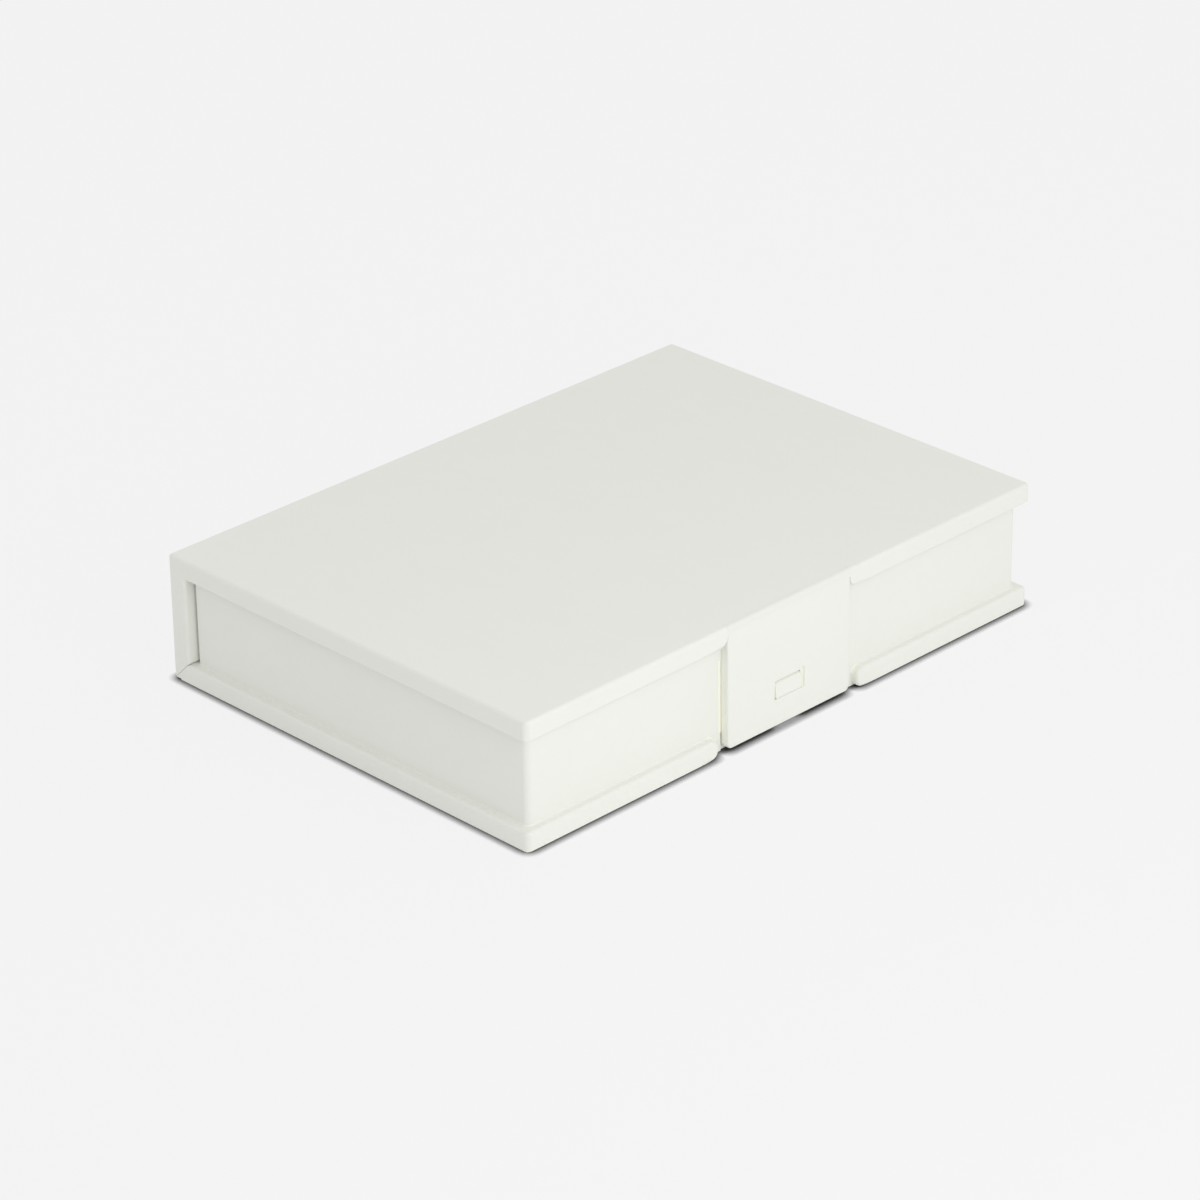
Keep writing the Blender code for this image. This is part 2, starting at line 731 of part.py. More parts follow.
def main():
    """Builds the whole case."""
    clear_scene()
    parts = new_collection("hard_drive_case")
    helpers = new_collection("helper_shapes")
    plastic = {
        name: plain_material(name, IVORY, PLASTIC_ROUGHNESS)
        for name in ("tray_plastic", "lid_plastic", "flap_plastic", "film_plastic")
    }
    foam = plain_material("foam", FOAM_GREY, FOAM_ROUGHNESS)
    make_tray(parts, helpers, plastic["tray_plastic"])
    make_lid(parts, helpers, plastic["lid_plastic"])
    make_flap(parts, helpers, plastic["flap_plastic"])
    make_films(parts, plastic["film_plastic"])
    floor_level = FLOOR_THICKNESS + FIT_GAP
    lid_level = PLATE_UNDERSIDE - FIT_GAP - PAD_THICKNESS
    for side, word in ((-1, "left"), (1, "right")):
        make_pad(f"floor_pad_{word}", side, floor_level, parts, foam)
        make_pad(f"lid_pad_{word}", side, lid_level, parts, foam)
    mark_helpers(helpers)


main()
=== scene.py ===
"""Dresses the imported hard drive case: ivory polypropylene shells, bending hinge skins, foam pads.

Lengths are in metres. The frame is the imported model's: +X along the long sides, -Y out of the side
with the latch flap, +Z up, and the origin in the middle of the base, on the table.
"""

import json
import logging
import math
from collections.abc import Callable, Sequence
from dataclasses import dataclass, field
from enum import Enum

import bmesh
import bpy
from mathutils import Matrix, Vector, noise

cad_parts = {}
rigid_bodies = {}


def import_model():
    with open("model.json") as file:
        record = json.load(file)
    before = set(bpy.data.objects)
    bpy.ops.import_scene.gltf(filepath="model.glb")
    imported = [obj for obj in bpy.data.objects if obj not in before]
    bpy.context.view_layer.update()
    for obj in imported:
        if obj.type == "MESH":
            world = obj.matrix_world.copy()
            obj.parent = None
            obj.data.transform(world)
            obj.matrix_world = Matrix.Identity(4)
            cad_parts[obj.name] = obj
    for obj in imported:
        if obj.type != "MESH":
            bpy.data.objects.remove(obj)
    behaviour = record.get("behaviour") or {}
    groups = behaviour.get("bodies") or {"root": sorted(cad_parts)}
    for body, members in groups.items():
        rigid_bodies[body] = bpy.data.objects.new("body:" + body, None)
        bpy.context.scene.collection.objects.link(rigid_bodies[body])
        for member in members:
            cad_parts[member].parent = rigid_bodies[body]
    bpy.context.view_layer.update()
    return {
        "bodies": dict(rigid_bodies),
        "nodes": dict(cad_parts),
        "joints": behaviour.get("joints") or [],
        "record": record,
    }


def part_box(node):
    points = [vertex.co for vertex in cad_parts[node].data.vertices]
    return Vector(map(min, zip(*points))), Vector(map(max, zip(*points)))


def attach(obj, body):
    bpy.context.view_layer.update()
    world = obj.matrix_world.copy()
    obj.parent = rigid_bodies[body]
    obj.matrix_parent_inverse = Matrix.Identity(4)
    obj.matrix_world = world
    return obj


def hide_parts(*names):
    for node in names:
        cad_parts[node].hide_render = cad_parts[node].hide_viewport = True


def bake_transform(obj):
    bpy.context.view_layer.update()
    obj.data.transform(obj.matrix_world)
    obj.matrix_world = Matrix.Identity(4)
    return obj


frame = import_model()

LOG = logging.getLogger("hard_drive_case")

MM = 0.001
TOUCH = 0.004 * MM
OVERRUN = 3.0 * MM

Point2 = tuple[float, float]
Outline = list[Point2]
Colour = tuple[float, float, float]


class Axis(Enum):
    """A direction of the row frame, by the number of its coordinate."""

    X = 0
    Y = 1
    Z = 2


class Body(Enum):
    """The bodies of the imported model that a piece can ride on."""

    TRAY = "tray"
    LID = "lid"
    LATCH = "latch"


def arc(centre: Point2, radius: float, start: float, end: float, steps: int = 8) -> Outline:
    """Points on an arc, both ends included.

    Args:
        centre: the arc's centre.
        radius: its radius.
        start: its first angle, in degrees.
        end: its last angle, in degrees.
        steps: how many straight pieces it is made of.

    Returns:
        The points, from the first angle to the last.
    """
    turns = [math.radians(start + (end - start) * step / steps) for step in range(steps + 1)]
    return [(centre[0] + radius * math.cos(t), centre[1] + radius * math.sin(t)) for t in turns]


def mirrored(right: Outline) -> Outline:
    """The outline that runs up its right half and comes back down its mirrored left half."""
    return right + [(-across, up) for across, up in reversed(right)]


class Shape:
    """Plain closed volumes, gathered in one mesh, that a moulding is joined or cut with."""

    def __init__(self) -> None:
        """Starts with nothing."""
        self.builder = bmesh.new()

    def box(self, low: Sequence[float], high: Sequence[float]) -> "Shape":
        """Adds a box between two corners."""
        low, high = Vector(low), Vector(high)
        place = Matrix.Translation((low + high) / 2) @ Matrix.Diagonal((*(high - low), 1))
        bmesh.ops.create_cube(self.builder, size=1, matrix=place)
        return self

    def prism(self, outline: Outline, axis: Axis, start: float, end: float) -> "Shape":
        """Adds a flat outline, drawn out along an axis.

        Args:
            outline: its points, as (y, z) for X, (x, z) for Y and (x, y) for Z.
            axis: the way that it is drawn out.
            start: where it starts on that axis.
            end: where it ends.

        Returns:
            This shape.
        """
        corners = []
        for first, second in outline:
            place = [first, second]
            place.insert(axis.value, start)
            corners.append(self.builder.verts.new(place))
        travel = Vector((0, 0, 0))
        travel[axis.value] = end - start
        face = self.builder.faces.new(corners)
        grown = bmesh.ops.extrude_face_region(self.builder, geom=[face])
        moved = [part for part in grown["geom"] if isinstance(part, bmesh.types.BMVert)]
        bmesh.ops.translate(self.builder, verts=moved, vec=travel)
        return self

    def disc(self, centre: Sequence[float], radius: float, depth: float) -> "Shape":
        """Adds an upright round plug, by its centre, radius and full depth."""
        circle = arc((centre[0], centre[1]), radius, 0, 360, 40)[:-1]
        return self.prism(circle, Axis.Z, centre[2] - depth / 2, centre[2] + depth / 2)

    def to_object(self, name: str) -> bpy.types.Object:
        """Turns what was gathered into an object in the scene, with its faces pointing out."""
        bmesh.ops.recalc_face_normals(self.builder, faces=self.builder.faces[:])
        return object_from(self.builder, name)


def object_from(builder: bmesh.types.BMesh, name: str) -> bpy.types.Object:
    """Makes an object in the scene from a bmesh, and frees the bmesh."""
    mesh = bpy.data.meshes.new(name)
    builder.to_mesh(mesh)
    builder.free()
    made = bpy.data.objects.new(name, mesh)
    bpy.context.scene.collection.objects.link(made)
    return made


def settle(piece: bpy.types.Object) -> None:
    """Applies all of a piece's modifiers to its mesh."""
    graph = bpy.context.evaluated_depsgraph_get()
    mesh = bpy.data.meshes.new_from_object(piece.evaluated_get(graph), depsgraph=graph)
    old = piece.data
    piece.modifiers.clear()
    piece.data = mesh
    mesh.name = piece.name
    bpy.data.meshes.remove(old)


@dataclass(frozen=True)
class EdgeView:
    """What a rounding rule is told about one sharp edge."""

    middle: Vector
    along: Vector
    normals: tuple[Vector, Vector]
    convex: bool

    def in_plane(self, axis: Axis, value: float) -> bool:
        """Whether the edge bounds the flat face that lies at this place on an axis."""
        facing = max(abs(normal[axis.value]) for normal in self.normals)
        return abs(self.middle[axis.value] - value) < TOUCH and facing > 0.99

    def runs(self, axis: Axis) -> bool:
        """Whether the edge runs along an axis."""
        return abs(self.along[axis.value]) > 0.99

    def sloped(self) -> bool:
        """Whether one of its faces is a mitre, at 45 degrees across the case."""
        return any(abs(abs(n.y) - abs(n.z)) < 0.02 and abs(n.x) < 0.02 for n in self.normals)


RoundingRule = Callable[[EdgeView], float]
ShelterRule = Callable[[Vector], float]


class Moulding:
    """A sharp solid, carved from plain shapes, whose edges are rounded at the end by a rule."""

    flat_angle = math.radians(20)
    big_face = 6 * MM * MM

    def __init__(self, name: str, start: Shape) -> None:
        """Starts from one shape."""
        self.piece = start.to_object(name)
        self.tools: list[bpy.types.Object] = []

    def _combine(self, shape: Shape, operation: str) -> "Moulding":
        """Queues one Boolean operation with a shape."""
        tool = shape.to_object(f"{self.piece.name}_tool_{len(self.tools)}")
        step = self.piece.modifiers.new(tool.name, "BOOLEAN")
        step.operation, step.object, step.solver = operation, tool, "EXACT"
        self.tools.append(tool)
        return self

    def join(self, shape: Shape) -> "Moulding":
        """Joins a shape to the solid."""
        return self._combine(shape, "UNION")

    def cut(self, shape: Shape) -> "Moulding":
        """Cuts a shape out of the solid."""
        return self._combine(shape, "DIFFERENCE")

    def carve(self) -> None:
        """Carries out the queued operations and tidies the flat faces."""
        settle(self.piece)
        for tool in self.tools:
            bpy.data.objects.remove(tool)
        self.tools.clear()
        builder = bmesh.new()
        builder.from_mesh(self.piece.data)
        bmesh.ops.remove_doubles(builder, verts=builder.verts[:], dist=TOUCH / 4)
        bmesh.ops.dissolve_limit(
            builder,
            angle_limit=math.radians(0.5),
            verts=builder.verts[:],
            edges=builder.edges[:],
            delimit={"NORMAL"},
        )
        builder.to_mesh(self.piece.data)
        builder.free()

    def round_off(self, rule: RoundingRule, segments: int) -> None:
        """Rounds each sharp edge by the radius that the rule gives it.

        Args:
            rule: tells an edge's radius, or 0 where it stays sharp.
            segments: how many faces run round each edge.
        """
        builder = bmesh.new()
        builder.from_mesh(self.piece.data)
        builder.normal_update()
        radii: list[float] = []
        for edge in builder.edges:
            radius = 0.0
            if len(edge.link_faces) == 2 and abs(edge.calc_face_angle(0)) > self.flat_angle:
                ends = edge.verts[0].co, edge.verts[1].co
                one, two = (face.normal.copy() for face in edge.link_faces)
                convex = edge.calc_face_angle_signed(0) > 0
                along = (ends[1] - ends[0]).normalized()
                radius = rule(EdgeView((ends[0] + ends[1]) / 2, along, (one, two), convex))
            radii.append(radius)
        widest = max(radii)
        builder.free()
        mesh = self.piece.data
        weights = mesh.attributes.new("bevel_weight_edge", "FLOAT", "EDGE")
        weights.data.foreach_set("value", [radius / widest for radius in radii])
        bevel = self.piece.modifiers.new("rounded edges", "BEVEL")
        bevel.limit_method, bevel.width, bevel.segments = "WEIGHT", widest, segments
        bevel.use_clamp_overlap = False
        bevel.miter_outer = "MITER_ARC"
        settle(self.piece)

    def note_rounding(self, shelter: ShelterRule) -> None:
        """Stores how strongly each vertex bulges or lies in a hollow, for the finish to paint shade and
        gloss onto bulging edges and painted light into hollows.

        Args:
            shelter: tells how deep a place lies in a gap or a slot, from 0 to 1.
        """
        builder = bmesh.new()
        builder.from_mesh(self.piece.data)
        builder.normal_update()
        bulge: list[float] = []
        for vertex in builder.verts:
            turn = 0.0
            if all(face.calc_area() < self.big_face for face in vertex.link_faces):
                turn = sum(edge.calc_face_angle_signed(0) for edge in vertex.link_edges)
            bulge.append(max(-1.0, min(1.0, turn / math.radians(40), -shelter(vertex.co) or 1.0)))
        builder.free()
        note = self.piece.data.attributes.new("bulge", "FLOAT", "POINT")
        note.data.foreach_set("value", bulge)

    def finish(
        self, rule: RoundingRule, shelter: ShelterRule, segments: int = 5
    ) -> bpy.types.Object:
        """Carves, rounds and smooths the solid.

        Args:
            rule: tells each sharp edge's radius.
            shelter: tells how deep a place lies in a gap or a slot, from 0 to 1.
            segments: how many faces run round each edge.

        Returns:
            The finished piece.
        """
        self.carve()
        self.round_off(rule, segments)
        self.note_rounding(shelter)
        shade_by_area(self.piece)
        return self.piece


def shade_by_area(piece: bpy.types.Object) -> None:
    """Shades a piece smooth, with its large flat faces kept flat."""
    piece.data.shade_smooth()
    piece.data.set_sharp_from_angle(angle=math.radians(50))
    weighted = piece.modifiers.new("flat faces stay flat", "WEIGHTED_NORMAL")
    weighted.keep_sharp = True
    weighted.weight = 100


class Socket:
    """A shader socket that can stand in a sum, such as 1 - mask * 0.4."""

    def __init__(self, canvas: "Canvas", socket: bpy.types.NodeSocket) -> None:
        """Wraps a node's output socket."""
        self.canvas = canvas
        self.socket = socket

    def _math(self, operation: str, first: object, second: object = None) -> "Socket":
        """Adds one Math node."""
        values = [first] if second is None else [first, second]
        return self.canvas.node("Math", {"operation": operation}, dict(enumerate(values)))

    def __add__(self, other: object) -> "Socket":
        """This value plus another."""
        return self._math("ADD", self, other)

    def __sub__(self, other: object) -> "Socket":
        """This value minus another."""
        return self._math("SUBTRACT", self, other)

    def __mul__(self, other: object) -> "Socket":
        """This value times another."""
        return self._math("MULTIPLY", self, other)

    def __rsub__(self, other: object) -> "Socket":
        """Another value minus this one."""
        return self._math("SUBTRACT", other, self)

    def __pow__(self, other: object) -> "Socket":
        """This value to a power."""
        return self._math("POWER", self, other)

    __radd__ = __add__
    __rmul__ = __mul__

    def clamped(self) -> "Socket":
        """This value, kept from 0 to 1."""
        return self.canvas.node("Clamp", {}, {"Value": self})

    def step(self, low: float, high: float) -> "Socket":
        """A smooth step from 0, below low, to 1, above high."""
        settings = {"interpolation_type": "SMOOTHSTEP"}
        values = {"Value": self, "From Min": low, "From Max": high}
        return self.canvas.node("MapRange", settings, values)


class Canvas:
    """The node tree of a material or a world, filled through a single method."""

    def __init__(self, owner: bpy.types.Material | bpy.types.World) -> None:
        """Empties the node tree of a new material or world."""
        self.owner = owner
        owner.use_nodes = True
        self.tree = owner.node_tree
        self.tree.nodes.clear()

    @classmethod
    def material(cls, name: str) -> "Canvas":
        """Starts a new material."""
        return cls(bpy.data.materials.new(name))

    def node(
        self,
        kind: str,
        settings: dict[str, object],
        values: dict[str | int, object],
        output: str | int = 0,
    ) -> Socket:
        """Adds a shader node.

        Args:
            kind: the node's type, without its ShaderNode prefix.
            settings: its own settings.
            values: what each input socket gets: a number, a tuple or another socket.
            output: the output that is returned.

        Returns:
            The chosen output, or an empty socket where the node has none.
        """
        made = self.tree.nodes.new(f"ShaderNode{kind}")
        for name, value in settings.items():
            setattr(made, name, value)
        for name, value in values.items():
            if isinstance(value, Socket):
                self.tree.links.new(value.socket, made.inputs[name])
            else:
                made.inputs[name].default_value = value
        return Socket(self, made.outputs[output] if made.outputs else None)

    def mix(self, share: object, first: object, second: object) -> Socket:
        """Mixes two colours."""
        one, two = (c if isinstance(c, Socket) else (*c, 1) for c in (first, second))
        factor, colour_a, colour_b, result = 0, 6, 7, 2
        values = {factor: share, colour_a: one, colour_b: two}
        return self.node("Mix", {"data_type": "RGBA"}, values, result)

    def seen_rays(self) -> Socket:
        """1 for what the camera sees, straight or mirrored, or else 0."""
        camera = self.node("LightPath", {}, {}, "Is Camera Ray")
        return (camera + self.node("LightPath", {}, {}, "Is Glossy Ray")).clamped()

    def noise(self, where: Socket, scale: float, detail: float = 2.0) -> Socket:
        """Noise from 0 to 1, with this many cells to the metre."""
        return self.node("TexNoise", {}, {"Vector": where, "Scale": scale, "Detail": detail})

    def stretched(self, where: Socket, scales: Sequence[float], turn: float = 0.0) -> Socket:
        """A place, turned about Z by some degrees and scaled, for streaks."""
        values = {"Vector": where, "Scale": tuple(scales), "Rotation": (0, 0, math.radians(turn))}
        return self.node("Mapping", {}, values)

    def finished(self, shader: Socket) -> bpy.types.Material | bpy.types.World:
        """Ends the tree, and gives its material or world."""
        kind = "World" if isinstance(self.owner, bpy.types.World) else "Material"
        self.node(f"Output{kind}", {}, {"Surface": shader})
        return self.owner


@dataclass(frozen=True)
class MouldedPlastic:
    """Ivory polypropylene with a fine satin grain, clouded a little by its flow in the mould."""

    name: str
    slot: str
    ivory: Colour = (0.874, 0.885, 0.831)
    dense: Colour = (0.862, 0.873, 0.818)
    worn: Colour = (0.890, 0.899, 0.853)
    # Painted shade: rounded edges are mixed towards this darker tone so that they do not light up brighter
    # than the faces beside them.
    edge_shade: Colour = (0.838, 0.847, 0.789)
    # Painted light: creases and the gaps beside the flap are mixed towards this brighter, yellower tone,
    # standing in for light that passes through the thin plastic.
    crease_glow: Colour = (0.975, 0.980, 0.840)
    roughness: float = 0.62
    grain_height: float = 0.012 * MM
    peel_height: float = 0.030 * MM
    flow_turn: float = 20.0

    def material(self) -> bpy.types.Material:
        """Builds the material."""
        c = Canvas.material(self.name)
        place = c.node("TexCoord", {}, {}, "Object")
        cloud = c.noise(place, 55, 3)
        flow = c.noise(c.stretched(place, (1, 0.28, 1), self.flow_turn), 420, 3)
        mottle = c.noise(place, 900, 2)
        grain = c.noise(place, 3600, 1)
        scuff_field = c.noise(c.stretched(place, (1, 0.02, 1), 35), 900, 2)
        scuff = scuff_field.step(0.70, 0.76) * c.noise(place, 34, 1).step(0.50, 0.66)
        bulge = c.node("Attribute", {"attribute_name": "bulge"}, {}, "Fac")
        # edge is the share of painted shade and extra gloss on bulging edges; hollow is the share of painted
        # light in creases and gaps.
        edge = (bulge * (0.6 + 0.8 * mottle)).clamped()
        hollow = (0 - bulge).clamped()
        share = (0.5 + 1.3 * (cloud - 0.5) + 1.1 * (flow - 0.5) + 0.5 * (mottle - 0.5)).clamped()
        colour = c.mix(share, self.dense, self.ivory)
        # Painted light in hollows: creases and gaps are brightened towards the brighter, yellower crease
        # colour.
        colour = c.mix(hollow * 0.90, colour, self.crease_glow)
        # Painted shade on bulging edges, mixed in by the edge mask.
        colour = c.mix(edge * 0.65, colour, self.edge_shade)
        colour = c.mix(scuff * 0.30, colour, self.worn)
        rough = self.roughness + 0.10 * (cloud - 0.5) + 0.08 * (mottle - 0.5) - 0.08 * edge
        height = (
            grain * self.grain_height
            + flow * self.peel_height
            + mottle * (self.grain_height * 0.8)
            - scuff * (self.grain_height * 0.5)
        )
        normal = c.node("Bump", {}, {"Strength": 0.5, "Distance": 1.0, "Height": height})
        shader = c.node(
            "BsdfPrincipled",
            {},
            {
                "Base Color": colour,
                "Roughness": (rough + 0.06 * scuff).clamped(),
                "Normal": normal,
                "IOR": 1.49,
                "Specular IOR Level": 0.30,
            },
        )
        return c.finished(shader)


@dataclass(frozen=True)
class FlexedPlastic(MouldedPlastic):
    """The same polypropylene rolled thin in a hinge, with whitened creases along its bend."""

    whitened: Colour = (0.878, 0.889, 0.838)

    def material(self) -> bpy.types.Material:
        """Builds the material."""
        c = Canvas.material(self.name)
        place = c.node("TexCoord", {}, {}, "Object")
        cloud = c.noise(place, 70, 3)
        creases = c.noise(c.stretched(place, (0.03, 1, 1)), 5200, 2)
        grain = c.noise(place, 3600, 1)
        bend = c.node("Attribute", {"attribute_name": "bend"}, {}, "Fac")
        share = (0.5 + 1.3 * (cloud - 0.5)).clamped()
        colour = c.mix(share, self.dense, self.ivory)
        # Painted shade along the hinge's bend, using the same darker edge tone as the shells.
        colour = c.mix(bend * 0.80, colour, self.edge_shade)
        colour = c.mix((bend * 0.5 * creases).clamped(), colour, self.whitened)
        rough = (self.roughness - 0.10 * bend + 0.15 * (creases - 0.5)).clamped()
        height = grain * self.grain_height + creases * bend * (self.peel_height * 0.7)
        normal = c.node("Bump", {}, {"Strength": 0.5, "Distance": 1.0, "Height": height})
        shader = c.node(
            "BsdfPrincipled",
            {},
            {
                "Base Color": colour,
                "Roughness": rough,
                "Normal": normal,
                "IOR": 1.49,
                "Specular IOR Level": 0.30,
            },
        )
        return c.finished(shader)


@dataclass(frozen=True)
class CellFoam:
    """Dark closed-cell foam with fine pores and a dry, dusty face."""

    name: str
    slot: str
    shade: Colour = (0.030, 0.031, 0.033)
    light: Colour = (0.058, 0.059, 0.062)
    dusty: Colour = (0.105, 0.105, 0.104)
    roughness: float = 0.92

    def material(self) -> bpy.types.Material:
        """Builds the material."""
        c = Canvas.material(self.name)
        place = c.node("TexCoord", {}, {}, "Object")
        cells = c.node("TexVoronoi", {}, {"Vector": place, "Scale": 2300}, "Distance")
        coarse = c.node("TexVoronoi", {}, {"Vector": place, "Scale": 900}, "Distance")
        cloud = c.noise(place, 160, 3)
        dust = c.noise(place, 1400, 3).step(0.58, 0.75)
        pores = 1 - cells.step(0.05, 0.32)
        share = (0.55 * cloud + 0.5 * cells + 0.25 * coarse).clamped()
        colour = c.mix(share, self.shade, self.light)
        colour = c.mix(dust * 0.35, colour, self.dusty)
        colour = c.mix(pores * 0.5, colour, self.shade)
        height = (cells * 0.6 + coarse * 0.6 + cloud * 0.5) * (0.09 * MM)
        normal = c.node("Bump", {}, {"Strength": 0.8, "Distance": 1.0, "Height": height})
        rough = (self.roughness - 0.12 * pores + 0.05 * cloud).clamped()
        shader = c.node(
            "BsdfPrincipled",
            {},
            {
                "Base Color": colour,
                "Roughness": rough,
                "Normal": normal,
                "Specular IOR Level": 0.25,
                "Sheen Weight": 0.15,
                "Sheen Roughness": 0.6,
            },
        )
        return c.finished(shader)


def dress(
    piece: bpy.types.Object,
    finish: MouldedPlastic | CellFoam,
    replaced: str,
    body: Body | None = None,
) -> bpy.types.Object:
    """Gives a piece its finish, hides the CAD node that it stands for and, where a body is given, attaches
    it to that body.

    Args:
        piece: the finished piece.
        finish: what it is made of.
        replaced: the CAD node that it stands for.
        body: the body that it rides on, or None to leave it unattached.

    Returns:
        The piece.
    """
    piece.data.materials.clear()
    piece.data.materials.append(finish.material())
    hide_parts(replaced)
    if body is not None:
        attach(piece, body.value)
    LOG.info("%s: %d faces, stands for %s", piece.name, len(piece.data.polygons), replaced)
    return piece


@dataclass(frozen=True)
class CaseSizes:
    """The sizes that more than one piece of the case shares."""

    half_length: float = 89.0 * MM
    half_width: float = 63.75 * MM
    height: float = 34.6 * MM
    rim: float = 5.2 * MM
    edge_round: float = 0.9 * MM
    under_round: float = 0.3 * MM
    corner_round: float = 1.5 * MM
    floor: float = 2.0 * MM
    plate: float = 2.0 * MM
    spine_depth: float = 5.8 * MM
    film: float = 0.5 * MM
    film_leg: float = 2.4 * MM
    film_round: float = 0.9 * MM
    mitre_gap: float = 0.05 * MM
    flap_half: float = 21.65 * MM
    flap_thickness: float = 2.4 * MM
    notch_round: float = 2.2 * MM

    def rim_corner(self, edge: "EdgeView") -> bool:
        """Whether an edge is one of the two upright corners of a rim at the latch side."""
        at_end = abs(abs(edge.middle.x) - self.half_length) < TOUCH
        return edge.runs(Axis.Z) and at_end and abs(edge.middle.y + self.half_width) < TOUCH

    @property
    def plate_underside(self) -> float:
        """The height of the lid plate's underside."""
        return self.height - self.plate

    @property
    def skirt_bottom(self) -> float:
        """The height of the lid skirt's lower edge."""
        return self.height - self.rim

    @property
    def spine_inner(self) -> float:
        """The place of the spine's inner edge."""
        return self.half_width - self.spine_depth

    @property
    def flap_back(self) -> float:
        """The place of the flap's back face."""
        return -self.half_width + self.flap_thickness

    @property
    def spine_hinge(self) -> Point2:
        """The spine hinge's axis, in Y and Z."""
        return self.half_width - self.film, self.film

    @property
    def latch_hinge(self) -> Point2:
        """The latch hinge's axis, in Y and Z."""
        return -self.half_width + self.film, self.height - self.film

    def mitre(self, hinge: Point2, side: int, inward: int, reach: float) -> Outline:
        """What lies across a hinge's mitre, as a triangle in Y and Z.

        Args:
            hinge: the hinge's axis.
            side: 1 for what lies above the mitre, or -1 for what lies below it.
            inward: the way from the hinge up its mitre, 1 to +Y or -1 to -Y.
            reach: how far the triangle runs each way.

        Returns:
            The triangle's corners.
        """
        shift = side * self.mitre_gap / math.sqrt(2)
        foot = (hinge[0] - inward * reach, hinge[1] - reach - shift)
        head = (hinge[0] + inward * reach, hinge[1] + reach - shift)
        outer = (foot[0], head[1]) if side > 0 else (head[0], foot[1])
        return [foot, outer, head]

    def rebate(self, corner: Point2, toward: tuple[int, int]) -> Outline:
        """The L that a hinge skin lies in, round an outer corner, in Y and Z."""
        ys = [corner[0] + toward[0] * a for a in (-OVERRUN, self.film, self.film_leg)]
        zs = [corner[1] + toward[1] * a for a in (-OVERRUN, self.film, self.film_leg)]
        return [
            (ys[0], zs[0]), (ys[2], zs[0]), (ys[2], zs[1]),
            (ys[1], zs[1]), (ys[1], zs[2]), (ys[0], zs[2]),
        ]

    def notch(self, half: float, sill: float, top: float, flare_top: bool) -> Outline:
        """A notch through a rim, in X and Z, with the rim's corners rounded off beside it.

        Args:
            half: half the notch's width between its straight sides.
            sill: the rim's lower edge.
            top: where the notch ends, level with the rim's upper edge or the lid plate.
            flare_top: whether the rim's upper corners are rounded too.

        Returns:
            The notch's outline.
        """
        outer = half + self.notch_round
        right = [(outer, sill - OVERRUN)]
        right += arc((outer, sill + self.notch_round), self.notch_round, 270, 180)
        if flare_top:
            right += arc((outer, top - self.notch_round), self.notch_round, 180, 90)
        else:
            right += [(half, top)]
        return mirrored(right)


